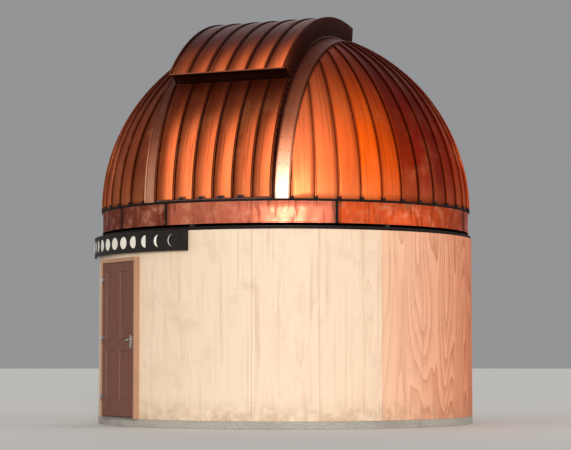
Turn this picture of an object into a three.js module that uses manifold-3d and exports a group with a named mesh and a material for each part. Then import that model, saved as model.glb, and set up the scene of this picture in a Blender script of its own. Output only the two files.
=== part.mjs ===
// Small round observatory: a hollow cylindrical building under a turning standing-seam dome,
// whose slit is closed by a hinged lower shutter and an up-and-over upper shutter.
// Millimetres, +Z up, origin on the ground at the middle of the building, door facing -Y.
// A bearing is an angle in plan from -Y towards +X. An arch angle is measured about the axis
// across the slit, from the front spring line (0) over the top (90) to the back (180).

import * as THREE from 'three';
import * as BufferGeometryUtils from 'three/addons/utils/BufferGeometryUtils.js';
import Module from 'manifold-3d';

const wasm = await Module();
wasm.setup();

// Clearance between pieces that touch
const GAP = 0.3;

// Facets of every ring: one for each gore of the dome
const GORES = 52;
const GORE_STEP = 360 / GORES;
// Facet of every arch that follows the slit
const ARCH_STEP = 9;
// Facet of a gore from the spring line upwards
const RISE_STEP = 9;

// Building
const WALL_RADIUS = 2570;
const WALL_THICKNESS = 150;
const SLAB_HEIGHT = 100;
const WALL_TOP = 2500;
const WALL_JOINTS = [11, 49, 87, 139.4, 191.8, 244.2, 296.6, 349];
const PLATE_HEIGHT = 40;
const PLATE_SETBACK = 12;

// Doorway, door frame, leaf and threshold
const DOORWAY_HALF = 495;
const FRAME_TOP = 2190;
const JAMB_WIDTH = 37;
const HEAD_HEIGHT = 50;
const FRAME_FRONT = 2585;
const FRAME_BACK = 2400;
const REBATE_DEPTH = 15;
const LEAF_THICKNESS = 45;
const LEAF_CLEARANCE = 5;
const LEAF_SETBACK = 5;
const THRESHOLD_HEIGHT = 18;
const DOOR_HINGE_HEIGHTS = [320, 1080, 1850];
const DOOR_HINGE_RADIUS = 9;
const DOOR_PIN_RADIUS = 5;
const DOOR_KNUCKLE_LENGTH = 45;
const DOOR_PIVOT_X = -455;
const DOOR_PIVOT_Y = -2596;
const HANDLE_HEIGHT = 1120;
const HANDLE_INSET = 65;

// Sign board over the door
const SIGN_HALF_ANGLE = 30.5;
const SIGN_BACK = 2600;
const SIGN_FRONT = 2630;
const SIGN_BOTTOM = 2245;
const SIGN_TOP = 2510;
const BATTEN_HALF = 30;
const BATTEN_FACETS = [-3, 0, 3];

// Rollers on the wall head that carry the dome
const ROLLER_COUNT = 6;
const ROLLER_RADIUS = 48;
const ROLLER_WIDTH = 36;
const ROLLER_TRACK = 2476;
const ROLLER_TOP = 2650;
const ROLLER_PLATE = 6;
const CHEEK_THICKNESS = 14;
const CHEEK_HALF = 25;
const CHEEK_TOP = 2625;

// Dome: spring line, radius over the pans, and the bearing of the slit at rest
const SPRING_HEIGHT = 2885;
const DOME_RADIUS = 2515;
const SHELL = 12;
const SLIT_BEARING = 36;
const SEAM_HALF = 11;
const SEAM_HEIGHT = 28;
const SKIRT_HEIGHT = 305;
const SKIRT_JOINTS = [-36.3, -14.9, 37.4, 94.66, 151.92, 209.18, 266.44, 323.7];
const RING_INNER = 2430;
const RING_FLANGE = 12;

// Slit: arch rails, flashings beside them, head and sill
const RAIL_INNER = 752;
const RAIL_OUTER = 800;
const RAIL_BOTTOM = 2300;
const RAIL_TOP = 2412;
const FLASHING_OUTER = 1018;
const FLASHING_RISE = 3;
const FLASHING_LIP = 16;
const FLASHING_LIP_WIDTH = 15;
const HEAD_START = 97;
const HEAD_END = 99.5;
const HEAD_DEPTH = 110;
const SILL_BACK = 2340;
const SILL_PLATE = 10;
const UPSTAND_FRONT = 2400;
const UPSTAND_HEIGHT = 60;

// Shutters
const SHUTTER_HALF = 817;
const SHUTTER_SKIN = 12;
const SHUTTER_PANELS = 6;
const RIB_WIDTH = 24;
const RIB_HEIGHT = 18;
const LOWER_RADIUS = 2430;
const LOWER_FLANGE = 2396;
const LOWER_START = 0.55;
const LOWER_END = 41;
const UPPER_RADIUS = 2640;
const UPPER_FLANGE = 2404;
const UPPER_LIP = 40.3;
const UPPER_START = 41.6;
const UPPER_END = 101;
const END_WALL = 0.3;
const REAR_WALL_CLEAR = 13;
const BAFFLE_CLEAR = 8;

// Hinge of the lower shutter
const SHUTTER_PIVOT_Y = -2470;
const SHUTTER_PIVOT_Z = 34;
const SHUTTER_HINGES = [-409, -136, 136, 409];
const SHUTTER_ROD_RADIUS = 9;
const SHUTTER_SLEEVE_RADIUS = 16;
const SHUTTER_SLEEVE_HALF = 28;
const LUG_THICKNESS = 12;
const LUG_HALF_DEPTH = 17;
const LUG_TOP = 52;

// Rollers of the upper shutter, at corners of the faceted rail
const SHUTTER_ROLLER_RADIUS = 40;
const SHUTTER_ROLLER_START = 760;
const SHUTTER_ROLLER_END = 790;
const SHUTTER_AXLE_RADIUS = 12;
const SHUTTER_ROLLER_ANGLES = { front: 45, rear: 90 };

const UP = new THREE.Vector3(0, 0, 1);
const ACROSS = new THREE.Vector3(1, 0, 0);
const ALONG = new THREE.Vector3(0, 1, 0);

const radians = THREE.MathUtils.degToRad;

// Unit vector in plan at a bearing
function heading(bearing) {
  return new THREE.Vector3(Math.sin(radians(bearing)), -Math.cos(radians(bearing)), 0);
}

// Angles from start to end with every facet corner between them, and for each the radius
// factor that keeps a point on its facet. Corners lie at phase + a whole number of steps.
function facetStops(start, end, step, phase) {
  const stops = [start];
  let corner = phase + Math.ceil((start - phase) / step) * step;
  for (; corner < end - 0.01; corner += step) {
    if (corner > start + 0.01) stops.push(corner);
  }
  stops.push(end);
  return stops.map((angle) => {
    const fraction = ((((angle - phase) / step) % 1) + 1) % 1;
    const offset = radians((fraction - 0.5) * step);
    return { angle, factor: Math.cos(radians(step / 2)) / Math.cos(offset) };
  });
}

// Closed body through matching sections. The outline is the section's flat shape, for its caps.
function loft(sections, outline, looped = false) {
  const count = outline.length;
  const vertices = sections.flat().flatMap((point) => point.toArray());
  const indices = [];
  const spans = looped ? sections.length : sections.length - 1;
  for (let i = 0; i < spans; i += 1) {
    const here = i * count;
    const next = ((i + 1) % sections.length) * count;
    for (let j = 0; j < count; j += 1) {
      const k = (j + 1) % count;
      indices.push(here + j, here + k, next + k, here + j, next + k, next + j);
    }
  }
  if (!looped) {
    const flat = outline.map(([a, b]) => new THREE.Vector2(a, b));
    const last = (sections.length - 1) * count;
    for (const [a, b, c] of THREE.ShapeUtils.triangulateShape(flat, [])) {
      const turn = THREE.ShapeUtils.isClockWise(flat) ? [a, b, c] : [c, b, a];
      indices.push(...turn, ...turn.map((index) => last + index).reverse());
    }
  }
  return facingOut(vertices, indices);
}

// Geometry from vertices and triangles, turned so that its faces point out
function facingOut(vertices, indices) {
  const a = new THREE.Vector3();
  const b = new THREE.Vector3();
  const c = new THREE.Vector3();
  let volume = 0;
  for (let i = 0; i < indices.length; i += 3) {
    a.fromArray(vertices, indices[i] * 3);
    b.fromArray(vertices, indices[i + 1] * 3);
    c.fromArray(vertices, indices[i + 2] * 3);
    volume += a.dot(b.cross(c));
  }
  const geometry = new THREE.BufferGeometry();
  geometry.setAttribute('position', new THREE.Float32BufferAttribute(vertices, 3));
  geometry.setIndex(volume < 0 ? indices.reverse() : indices);
  return geometry;
}

// Body swept about the vertical axis from an outline of [radius, height] points
function ringBody(outline, start, end) {
  const looped = end - start >= 360;
  const stops = facetStops(start, end, GORE_STEP, GORE_STEP / 2);
  if (looped) stops.pop();
  const sections = stops.map(({ angle, factor }) => outline.map(([radius, height]) => {
    return heading(angle).multiplyScalar(radius * factor).setZ(height);
  }));
  return loft(sections, outline, looped);
}

// Body swept about the axis across the slit from an outline of [x, radius] points
function archBody(outline, start, end) {
  const sections = facetStops(start, end, ARCH_STEP, 0).map(({ angle, factor }) => {
    return outline.map(([x, radius]) => new THREE.Vector3(
      x,
      -radius * factor * Math.cos(radians(angle)),
      radius * factor * Math.sin(radians(angle)),
    ));
  });
  return loft(sections, outline);
}

// Body of one outline of [x, z] points between two depths along Y
function prism(outline, y0, y1) {
  return loft([y0, y1].map((y) => outline.map(([x, z]) => new THREE.Vector3(x, y, z))), outline);
}

// Point in space
function at(x, y, z) {
  return new THREE.Vector3(x, y, z);
}

// Outline of a rectangle
function rectangle(a0, a1, b0, b1) {
  return [[a0, b0], [a1, b0], [a1, b1], [a0, b1]];
}

// Box between two corners
function box(x0, x1, y0, y1, z0, z1) {
  return prism(rectangle(x0, x1, z0, z1), y0, y1);
}

// Round bar with flat sides along an axis, one corner of its section at the given turn
function bar(radius, sides, axis, from, to, turn = 0) {
  const across = new THREE.Vector3(axis.y, axis.z, axis.x);
  const up = new THREE.Vector3().crossVectors(axis, across);
  const outline = [];
  for (let i = 0; i < sides; i += 1) {
    const angle = radians(turn) + (2 * Math.PI * i) / sides;
    outline.push([radius * Math.cos(angle), radius * Math.sin(angle)]);
  }
  const sections = [from, to].map((centre) => outline.map(([a, b]) => {
    return centre.clone().addScaledVector(across, a).addScaledVector(up, b);
  }));
  return loft(sections, outline);
}

// Solid of a geometry, for joins and cuts
function solid(geometry) {
  const bare = geometry.clone();
  bare.deleteAttribute('normal');
  bare.deleteAttribute('uv');
  const merged = BufferGeometryUtils.mergeVertices(bare, 1e-4);
  return new wasm.Manifold(new wasm.Mesh({
    numProp: 3,
    vertProperties: new Float32Array(merged.attributes.position.array),
    triVerts: new Uint32Array(merged.index.array),
  }));
}

// One solid of several geometries
function join(...geometries) {
  return geometries.map(solid).reduce((whole, piece) => whole.add(piece));
}

// Geometry of a solid
function shapeOf(body) {
  const { vertProperties, triVerts } = body.getMesh();
  const geometry = new THREE.BufferGeometry();
  geometry.setAttribute('position', new THREE.BufferAttribute(vertProperties, 3));
  geometry.setIndex(new THREE.BufferAttribute(triVerts, 1));
  return geometry;
}

// Plain material of one colour
function paint(color, roughness, metalness) {
  return new THREE.MeshStandardMaterial({ color, roughness, metalness, flatShading: true });
}

const finish = {
  concrete: paint(0x9a948a, 0.9, 0),
  wall: paint(0xe6d6bd, 0.7, 0),
  plate: paint(0x4b3a30, 0.8, 0),
  frame: paint(0xb8977c, 0.5, 0),
  leaf: paint(0x6f4a3a, 0.5, 0),
  steel: paint(0x8d8d90, 0.4, 0.9),
  sign: paint(0x3a2f2c, 0.6, 0),
  skirt: paint(0x9c6a5c, 0.5, 0.5),
  copper: paint(0xb86a50, 0.4, 0.8),
  flashing: paint(0xd08a70, 0.35, 0.8),
  shutter: paint(0xc07a62, 0.4, 0.8),
};

// Named mesh of a geometry or a solid, added to a group
function addPiece(group, name, body, material) {
  const geometry = body.isBufferGeometry ? body : shapeOf(body);
  const mesh = new THREE.Mesh(geometry, material.clone());
  mesh.name = name;
  group.add(mesh);
}

// Building: slab, wall panels, wall over the door and the plate on the wall head
function addBuilding(group) {
  const slab = ringBody([[0, 0], [WALL_RADIUS, 0], [WALL_RADIUS, SLAB_HEIGHT], [0, SLAB_HEIGHT]], 0, 360);
  addPiece(group, 'floor_slab', solid(slab), finish.concrete);

  const inner = WALL_RADIUS - WALL_THICKNESS;
  const section = rectangle(inner, WALL_RADIUS, SLAB_HEIGHT + GAP, WALL_TOP);
  const side = DOORWAY_HALF + GAP;
  const doorway = solid(box(-side, side, -2 * WALL_RADIUS, 0, 0, 2 * WALL_TOP));
  for (let i = 0; i + 1 < WALL_JOINTS.length; i += 1) {
    const start = WALL_JOINTS[i] + (i > 0 ? gapAngle(WALL_RADIUS) : 0);
    const panel = solid(ringBody(section, start, WALL_JOINTS[i + 1]));
    addPiece(group, `wall_panel_${i + 1}`, panel.subtract(doorway), finish.wall);
  }

  const over = rectangle(inner, WALL_RADIUS, FRAME_TOP + GAP, WALL_TOP);
  const width = solid(box(-DOORWAY_HALF, DOORWAY_HALF, -2 * WALL_RADIUS, 0, 0, 2 * WALL_TOP));
  addPiece(group, 'wall_over_door', solid(ringBody(over, -15, 15)).intersect(width), finish.wall);

  const plate = rectangle(
    inner + PLATE_SETBACK,
    WALL_RADIUS - PLATE_SETBACK,
    WALL_TOP + GAP,
    WALL_TOP + PLATE_HEIGHT,
  );
  addPiece(group, 'wall_head_plate', ringBody(plate, 0, 360), finish.plate);
}

// Angle that leaves the touching clearance at a radius
function gapAngle(radius) {
  return THREE.MathUtils.radToDeg(GAP / radius) * 1.1;
}

// Outline of a frame open at the bottom, from its outer and inner half widths and tops
function archwayOutline(outer, inner, top, innerTop, bottom) {
  return [
    [-outer, bottom], [-inner, bottom], [-inner, innerTop], [inner, innerTop],
    [inner, bottom], [outer, bottom], [outer, top], [-outer, top],
  ];
}

// Door frame with the rebate that the leaf closes into and the hinge halves that carry the
// pins, and the threshold
function addDoorFrame(group) {
  const outer = DOORWAY_HALF - GAP;
  const clear = outer - JAMB_WIDTH;
  const clearTop = FRAME_TOP - HEAD_HEIGHT;
  const bottom = SLAB_HEIGHT + GAP;
  const overThreshold = SLAB_HEIGHT + THRESHOLD_HEIGHT + GAP;
  const rebateBack = FRAME_FRONT - LEAF_SETBACK - LEAF_THICKNESS - LEAF_CLEARANCE;
  const casing = archwayOutline(outer, clear, FRAME_TOP, clearTop, bottom);
  const behindLeaf = archwayOutline(
    clear + 1,
    clear - REBATE_DEPTH,
    clearTop + 1,
    clearTop - REBATE_DEPTH,
    overThreshold,
  );
  let frame = join(
    prism(casing, -FRAME_FRONT, -FRAME_BACK),
    prism(behindLeaf, -rebateBack, -FRAME_BACK),
  );
  for (const height of DOOR_HINGE_HEIGHTS) {
    const top = height + DOOR_KNUCKLE_LENGTH;
    frame = frame.add(join(
      bar(DOOR_HINGE_RADIUS, 12, UP, pivotAt(height), pivotAt(top)),
      bar(DOOR_PIN_RADIUS, 12, UP, pivotAt(height + 5), pivotAt(top + DOOR_KNUCKLE_LENGTH - 5)),
      box(-outer + 4, DOOR_PIVOT_X, DOOR_PIVOT_Y + 4, -FRAME_FRONT + 2, height, top),
    ));
  }
  addPiece(group, 'door_frame', frame, finish.frame);

  const sill = box(
    -clear + GAP,
    clear - GAP,
    -FRAME_FRONT,
    -FRAME_BACK,
    bottom,
    SLAB_HEIGHT + THRESHOLD_HEIGHT,
  );
  addPiece(group, 'door_threshold', sill, finish.steel);
}

// Point on the door's hinge line
function pivotAt(height) {
  return new THREE.Vector3(DOOR_PIVOT_X, DOOR_PIVOT_Y, height);
}

// Door leaf with its hinge halves, and a lever handle on each face
function addDoor(group) {
  const half = DOORWAY_HALF - GAP - JAMB_WIDTH - LEAF_CLEARANCE;
  const bottom = SLAB_HEIGHT + THRESHOLD_HEIGHT + LEAF_CLEARANCE + 1;
  const top = FRAME_TOP - HEAD_HEIGHT - LEAF_CLEARANCE - 1;
  const front = -(FRAME_FRONT - LEAF_SETBACK);
  const back = front + LEAF_THICKNESS;
  let leaf = solid(box(-half, half, front, back, bottom, top));
  for (const height of DOOR_HINGE_HEIGHTS) {
    const low = height + DOOR_KNUCKLE_LENGTH + 1;
    const high = low + DOOR_KNUCKLE_LENGTH;
    leaf = leaf.add(join(
      bar(DOOR_HINGE_RADIUS, 12, UP, pivotAt(low), pivotAt(high)),
      box(DOOR_PIVOT_X, DOOR_PIVOT_X + 40, DOOR_PIVOT_Y + 4, front + 2, low, high),
    ));
    const bore = bar(DOOR_PIN_RADIUS + 0.6, 12, UP, pivotAt(low - 1), pivotAt(high - 5));
    leaf = leaf.subtract(solid(bore));
  }
  addPiece(group, 'door_leaf', leaf, finish.leaf);

  const x = half - HANDLE_INSET;
  for (const [name, face, out] of [['outside', front, -1], ['inside', back, 1]]) {
    const seat = face + out * GAP;
    const lever = join(
      slab(x - 22, x + 22, seat, seat + out * 10, HANDLE_HEIGHT - 110, HANDLE_HEIGHT + 60),
      bar(10, 10, ALONG, at(x, seat, HANDLE_HEIGHT), at(x, seat + out * 52, HANDLE_HEIGHT)),
      slab(x - 125, x + 10, seat + out * 40, seat + out * 54, HANDLE_HEIGHT - 10, HANDLE_HEIGHT + 10),
    );
    addPiece(group, `door_handle_${name}`, lever, finish.steel);
  }
}

// Box whose depth may be given in either order
function slab(x0, x1, ya, yb, z0, z1) {
  return box(x0, x1, Math.min(ya, yb), Math.max(ya, yb), z0, z1);
}

// Curved sign board on three battens
function addSign(group) {
  const board = ringBody(
    rectangle(SIGN_BACK, SIGN_FRONT, SIGN_BOTTOM, SIGN_TOP),
    -SIGN_HALF_ANGLE,
    SIGN_HALF_ANGLE,
  );
  const seat = WALL_RADIUS * Math.cos(radians(GORE_STEP / 2)) + GAP;
  const battens = BATTEN_FACETS.map((facet) => {
    const batten = box(-BATTEN_HALF, BATTEN_HALF, -SIGN_BACK, -seat, SIGN_BOTTOM + 20, WALL_TOP - 20);
    return batten.rotateZ(radians(facet * GORE_STEP));
  });
  addPiece(group, 'sign_board', join(board, ...battens), finish.sign);
}

// Ring of rollers on the wall head
function addRollers(group) {
  const base = WALL_TOP + PLATE_HEIGHT + GAP;
  const half = ROLLER_WIDTH / 2;
  const reach = half + CHEEK_THICKNESS;
  const centre = ROLLER_TOP - ROLLER_RADIUS;
  const plate = rectangle(ROLLER_TRACK - reach, ROLLER_TRACK + reach, base, base + ROLLER_PLATE);
  let ring = solid(ringBody(plate, 0, 360));
  for (let i = 0; i < ROLLER_COUNT; i += 1) {
    const turn = radians(((i + 0.5) * 360) / ROLLER_COUNT);
    const place = (distance) => at(0, -ROLLER_TRACK - distance, centre);
    const cheek = (side) => slab(
      -CHEEK_HALF,
      CHEEK_HALF,
      side * (half - 1) - ROLLER_TRACK,
      side * (reach - 6) - ROLLER_TRACK,
      base + 1,
      CHEEK_TOP,
    );
    const parts = [bar(ROLLER_RADIUS, 12, ALONG, place(half), place(-half)), cheek(1), cheek(-1)];
    for (const part of parts) ring = ring.add(solid(part.rotateZ(turn)));
  }
  addPiece(group, 'roller_ring', ring, finish.steel);
}

// Turning ring of the dome: a flange on the rollers and a drum that carries the gores
function addBaseRing(group) {
  const drum = DOME_RADIUS - SHELL;
  const bottom = ROLLER_TOP + GAP - SPRING_HEIGHT;
  const outline = [
    [RING_INNER, bottom], [DOME_RADIUS, bottom], [DOME_RADIUS, 0],
    [drum, 0], [drum, bottom + RING_FLANGE], [RING_INNER, bottom + RING_FLANGE],
  ];
  addPiece(group, 'dome_base_ring', ringBody(outline, 0, 360), finish.steel);
}

// Sheets of the skirt band round the drum: six long ones and a short closing one
function addSkirt(group) {
  const inner = DOME_RADIUS + GAP;
  const outline = rectangle(inner, inner + SHELL, -SKIRT_HEIGHT, -GAP);
  for (let i = 0; i + 1 < SKIRT_JOINTS.length; i += 1) {
    const start = SKIRT_JOINTS[i] + gapAngle(inner);
    const sheet = ringBody(outline, start, SKIRT_JOINTS[i + 1]);
    addPiece(group, `skirt_sheet_${i + 1}`, sheet, finish.skirt);
  }
}

// Point of the dome at a bearing, a height angle and a radius
function domePoint(bearing, rise, radius) {
  return heading(bearing)
    .multiplyScalar(radius * Math.cos(radians(rise)))
    .setZ(radius * Math.sin(radians(rise)));
}

// Height angles of the facet corners up to at least the given one
function riseStops(highest) {
  const count = Math.ceil(highest / RISE_STEP);
  return Array.from({ length: count + 1 }, (_, i) => i * RISE_STEP);
}

// Bearing of a seam
function seamBearing(index) {
  return (index + 0.5) * GORE_STEP;
}

// Point of the flat pans beside a seam, at a distance from the middle of the seam
function panPoint(seam, rise, offset, radius) {
  const bearing = seamBearing(seam);
  const out = radius * Math.cos(radians(rise)) - Math.abs(offset) * Math.tan(radians(GORE_STEP / 2));
  return heading(bearing)
    .multiplyScalar(out)
    .setZ(radius * Math.sin(radians(rise)))
    .addScaledVector(heading(bearing + 90), offset);
}

// Point of a seam's rib at a distance from the middle of the seam
function ribPoint(seam, rise, offset, radius) {
  return domePoint(seamBearing(seam), rise, radius)
    .addScaledVector(heading(seamBearing(seam) + 90), offset);
}

// Gores from one seam to another as one solid: it has the rib of its first seam, and of its
// last one where it ends the row
function goreSector(first, last, highest, endsRow) {
  const crest = DOME_RADIUS + SEAM_HEIGHT;
  const inside = DOME_RADIUS - SHELL;
  const sectionAt = (rise) => {
    const points = [panPoint(first, rise, -SEAM_HALF, inside)];
    for (let seam = first; seam <= last; seam += 1) {
      if (seam === last && !endsRow) {
        points.push(panPoint(seam, rise, -SEAM_HALF - GAP, DOME_RADIUS));
        points.push(panPoint(seam, rise, -SEAM_HALF - GAP, inside));
      } else {
        if (seam > first) points.push(panPoint(seam, rise, -SEAM_HALF, DOME_RADIUS));
        points.push(ribPoint(seam, rise, -SEAM_HALF, crest), ribPoint(seam, rise, SEAM_HALF, crest));
        points.push(panPoint(seam, rise, SEAM_HALF, seam === last ? inside : DOME_RADIUS));
      }
    }
    for (let seam = last - 1; seam > first; seam -= 1) points.push(domePoint(seamBearing(seam), rise, inside));
    return points;
  };
  const sections = riseStops(highest).map(sectionAt);
  const outline = sectionAt(0).map(({ x, y }) => [x, y]);
  return solid(loft(sections, outline));
}

// Gores beside the slit, four sectors a side from the front to the back, cut at the flashing
function addSideGores(group) {
  const firstSeam = 3;
  const sectorSeams = [5, 5, 5, 4];
  const edge = FLASHING_OUTER + GAP;
  const beyond = 2 * DOME_RADIUS;
  const region = solid(box(edge, beyond, -beyond, beyond, 0, beyond));
  let seam = firstSeam;
  sectorSeams.forEach((count, i) => {
    const nearest = THREE.MathUtils.clamp(90, seamBearing(seam), seamBearing(seam + count));
    const reach = DOME_RADIUS * Math.sin(radians(nearest));
    const highest = THREE.MathUtils.radToDeg(Math.acos(edge / reach));
    const isLast = i === sectorSeams.length - 1;
    const sector = goreSector(seam, seam + count, highest + 3, isLast).intersect(region);
    addPiece(group, `gores_right_${i + 1}`, sector, finish.copper);
    addPiece(group, `gores_left_${i + 1}`, mirrored(sector), finish.copper);
    seam += count;
  });
}

// Solid mirrored from one side of the slit to the other
function mirrored(body) {
  const geometry = shapeOf(body).scale(-1, 1, 1);
  return facingOut(Array.from(geometry.attributes.position.array), Array.from(geometry.index.array));
}

// Gores behind the slit, between the arch rails, from the back spring line to the slit's head
function addBackGores(group) {
  const half = RAIL_INNER - GAP;
  const middle = GORES / 2;
  const region = solid(archBody(rectangle(-half, half, 1500, 2700), HEAD_END + gapAngle(DOME_RADIUS), 180));
  const sector = goreSector(middle - 10, middle + 9, 81, true).intersect(region);
  addPiece(group, 'gores_back', sector, finish.copper);
}

// Radius in the plane of the arch at a distance across the slit, on a sphere about the dome's centre
function ballRadius(x, radius) {
  return Math.sqrt(radius * radius - x * x);
}

// Arch rails at the slit's edges and the flashings between them and the gores
function addArches(group) {
  const rail = rectangle(RAIL_INNER, RAIL_OUTER, RAIL_BOTTOM, RAIL_TOP);
  const xs = [RAIL_OUTER + GAP, (RAIL_OUTER + FLASHING_OUTER) / 2, FLASHING_OUTER - FLASHING_LIP_WIDTH];
  const crown = DOME_RADIUS + FLASHING_RISE;
  const top = xs.map((x) => [x, ballRadius(x, crown)]);
  const lip = ballRadius(FLASHING_OUTER, crown) + FLASHING_LIP;
  const under = [FLASHING_OUTER, ...xs.slice(1, 2), xs[0]].map((x) => [x, ballRadius(x, crown - SHELL)]);
  const flashing = [...top, [xs[2], lip], [FLASHING_OUTER, lip], ...under];
  for (const [side, sign] of [['right', 1], ['left', -1]]) {
    const placed = (outline) => outline.map(([x, radius]) => [sign * x, radius]);
    const foot = THREE.MathUtils.radToDeg(GAP / RAIL_BOTTOM);
    addPiece(group, `arch_rail_${side}`, archBody(placed(rail), foot, 180 - foot), finish.steel);
    addPiece(group, `slit_flashing_${side}`, archBody(placed(flashing), foot, 180 - foot), finish.flashing);
  }
}

// Cross member behind the slit
function addSlitHead(group) {
  const half = RAIL_INNER - GAP;
  const xs = [-half, -half / 2, 0, half / 2, half];
  const top = xs.map((x) => [x, ballRadius(x, DOME_RADIUS + FLASHING_LIP)]).reverse();
  const under = xs.map((x) => [x, ballRadius(x, DOME_RADIUS + FLASHING_LIP) - HEAD_DEPTH]);
  addPiece(group, 'slit_head', archBody([...under, ...top], HEAD_START, HEAD_END), finish.flashing);
}

// Point on the lower shutter's hinge line
function shutterPivot(x) {
  return at(x, SHUTTER_PIVOT_Y, SHUTTER_PIVOT_Z);
}

// Sill under the lower shutter: plate, upstand, and lugs with the rods of the hinges
function addSill(group) {
  const half = RAIL_INNER - GAP;
  const floor = GAP;
  const ledge = floor + SILL_PLATE;
  const plan = solid(ringBody([[0, floor], [DOME_RADIUS, floor], [DOME_RADIUS, ledge], [0, ledge]], -25, 25));
  let sill = plan.intersect(solid(box(-half, half, -2 * DOME_RADIUS, -SILL_BACK, -1, ledge + 1)));
  sill = sill.add(solid(box(-half, half, -UPSTAND_FRONT, -UPSTAND_FRONT + SHELL, ledge - 1, UPSTAND_HEIGHT)));
  const lugStart = SHUTTER_SLEEVE_HALF + 6;
  const lugEnd = lugStart + LUG_THICKNESS;
  for (const x of SHUTTER_HINGES) {
    const depth = [SHUTTER_PIVOT_Y - LUG_HALF_DEPTH, SHUTTER_PIVOT_Y + LUG_HALF_DEPTH];
    sill = sill.add(join(
      box(x - lugEnd, x - lugStart, ...depth, ledge - 1, LUG_TOP),
      box(x + lugStart, x + lugEnd, ...depth, ledge - 1, LUG_TOP),
      bar(SHUTTER_ROD_RADIUS, 12, ACROSS, shutterPivot(x - lugEnd + 2), shutterPivot(x + lugEnd - 2)),
    ));
  }
  addPiece(group, 'slit_sill', sill, finish.steel);
}

// Outer line of a shutter's section from left to right: six pans between raised ribs
function ribbedTop(radius) {
  const high = radius + RIB_HEIGHT;
  const points = [[-SHUTTER_HALF, high], [-SHUTTER_HALF + RIB_WIDTH, high], [-SHUTTER_HALF + RIB_WIDTH, radius]];
  for (let i = 1; i < SHUTTER_PANELS; i += 1) {
    const x = -SHUTTER_HALF + (2 * SHUTTER_HALF * i) / SHUTTER_PANELS;
    const [left, right] = [x - RIB_WIDTH / 2, x + RIB_WIDTH / 2];
    points.push([left, radius], [left, high], [right, high], [right, radius]);
  }
  const last = SHUTTER_HALF - RIB_WIDTH;
  points.push([last, radius], [last, high], [SHUTTER_HALF, high]);
  return points;
}

// Section of a shutter with a side wall down to the given radius
function shutterSection(radius, flange) {
  const inner = SHUTTER_HALF - SHUTTER_SKIN;
  return [
    ...ribbedTop(radius),
    [SHUTTER_HALF, flange], [inner, flange], [inner, radius - SHUTTER_SKIN],
    [-inner, radius - SHUTTER_SKIN], [-inner, flange], [-SHUTTER_HALF, flange],
  ];
}

// Lower shutter, hinged at its foot
function addLowerShutter(group) {
  let panel = solid(archBody(shutterSection(LOWER_RADIUS, LOWER_FLANGE), LOWER_START, LOWER_END));
  for (const x of SHUTTER_HINGES) {
    const [start, end] = [x - SHUTTER_SLEEVE_HALF, x + SHUTTER_SLEEVE_HALF];
    panel = panel.add(join(
      bar(SHUTTER_SLEEVE_RADIUS, 12, ACROSS, shutterPivot(start), shutterPivot(end)),
      box(start, end, SHUTTER_PIVOT_Y, -LOWER_RADIUS + 6, SHUTTER_PIVOT_Z - 8, SHUTTER_PIVOT_Z + 12),
    ));
    const bore = bar(SHUTTER_ROD_RADIUS + 0.7, 12, ACROSS, shutterPivot(start - 1), shutterPivot(end + 1));
    panel = panel.subtract(solid(bore));
  }
  addPiece(group, 'lower_shutter', panel, finish.shutter);
}

// Upper shutter: hood with side walls, a lip over the lower shutter and walls across its ends
function addUpperShutter(group) {
  const inner = SHUTTER_HALF - SHUTTER_SKIN;
  const under = UPPER_RADIUS - SHUTTER_SKIN;
  const lip = [...ribbedTop(UPPER_RADIUS), [SHUTTER_HALF, under], [-SHUTTER_HALF, under]];
  const baffle = rectangle(-inner - 1, inner + 1, RAIL_TOP + BAFFLE_CLEAR, under + 1);
  const clear = DOME_RADIUS + SEAM_HEIGHT + REAR_WALL_CLEAR;
  const xs = [-inner - 1, -inner / 2, 0, inner / 2, inner + 1];
  const rear = [...xs.map((x) => [x, ballRadius(x, clear)]), [inner + 1, under + 1], [-inner - 1, under + 1]];
  const hood = join(
    archBody(shutterSection(UPPER_RADIUS, UPPER_FLANGE), UPPER_START, UPPER_END),
    archBody(lip, UPPER_LIP, UPPER_START + END_WALL / 2),
    archBody(baffle, UPPER_START, UPPER_START + END_WALL),
    archBody(rear, UPPER_END - END_WALL, UPPER_END),
  );
  addPiece(group, 'upper_shutter', hood, finish.shutter);

  const radius = RAIL_TOP + GAP + SHUTTER_ROLLER_RADIUS;
  const wall = SHUTTER_HALF - SHUTTER_SKIN - GAP;
  for (const [end, angle] of Object.entries(SHUTTER_ROLLER_ANGLES)) {
    for (const [side, sign] of [['right', 1], ['left', -1]]) {
      const centre = (x) => {
        return at(sign * x, -radius * Math.cos(radians(angle)), radius * Math.sin(radians(angle)));
      };
      const roller = join(
        bar(SHUTTER_ROLLER_RADIUS, 16, ACROSS, centre(SHUTTER_ROLLER_START), centre(SHUTTER_ROLLER_END), angle),
        bar(SHUTTER_AXLE_RADIUS, 8, ACROSS, centre(SHUTTER_ROLLER_START + 5), centre(wall)),
      );
      addPiece(group, `shutter_roller_${end}_${side}`, roller, finish.steel);
    }
  }
}

const observatory = new THREE.Group();
addBuilding(observatory);
addDoorFrame(observatory);
addDoor(observatory);
addSign(observatory);
addRollers(observatory);

const dome = new THREE.Group();
dome.position.z = SPRING_HEIGHT;
dome.rotation.z = radians(SLIT_BEARING);
addBaseRing(dome);
addSkirt(dome);
addSideGores(dome);
addBackGores(dome);
addArches(dome);
addSlitHead(dome);
addSill(dome);
addLowerShutter(dome);
addUpperShutter(dome);
observatory.add(dome);

export default observatory;
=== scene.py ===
"""Looks of a small round observatory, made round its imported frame.

Metres, +Z up, origin on the ground at the middle of the building, door facing -Y. A bearing is an
angle in plan from -Y towards +X. The dome's pieces are drawn about the centre of its spring line
with the slit towards -Y, and are then turned and raised to their place. An arch angle is measured
about the axis across the slit, from the front spring line (0) over the top (90) to the back (180).
"""

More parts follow.
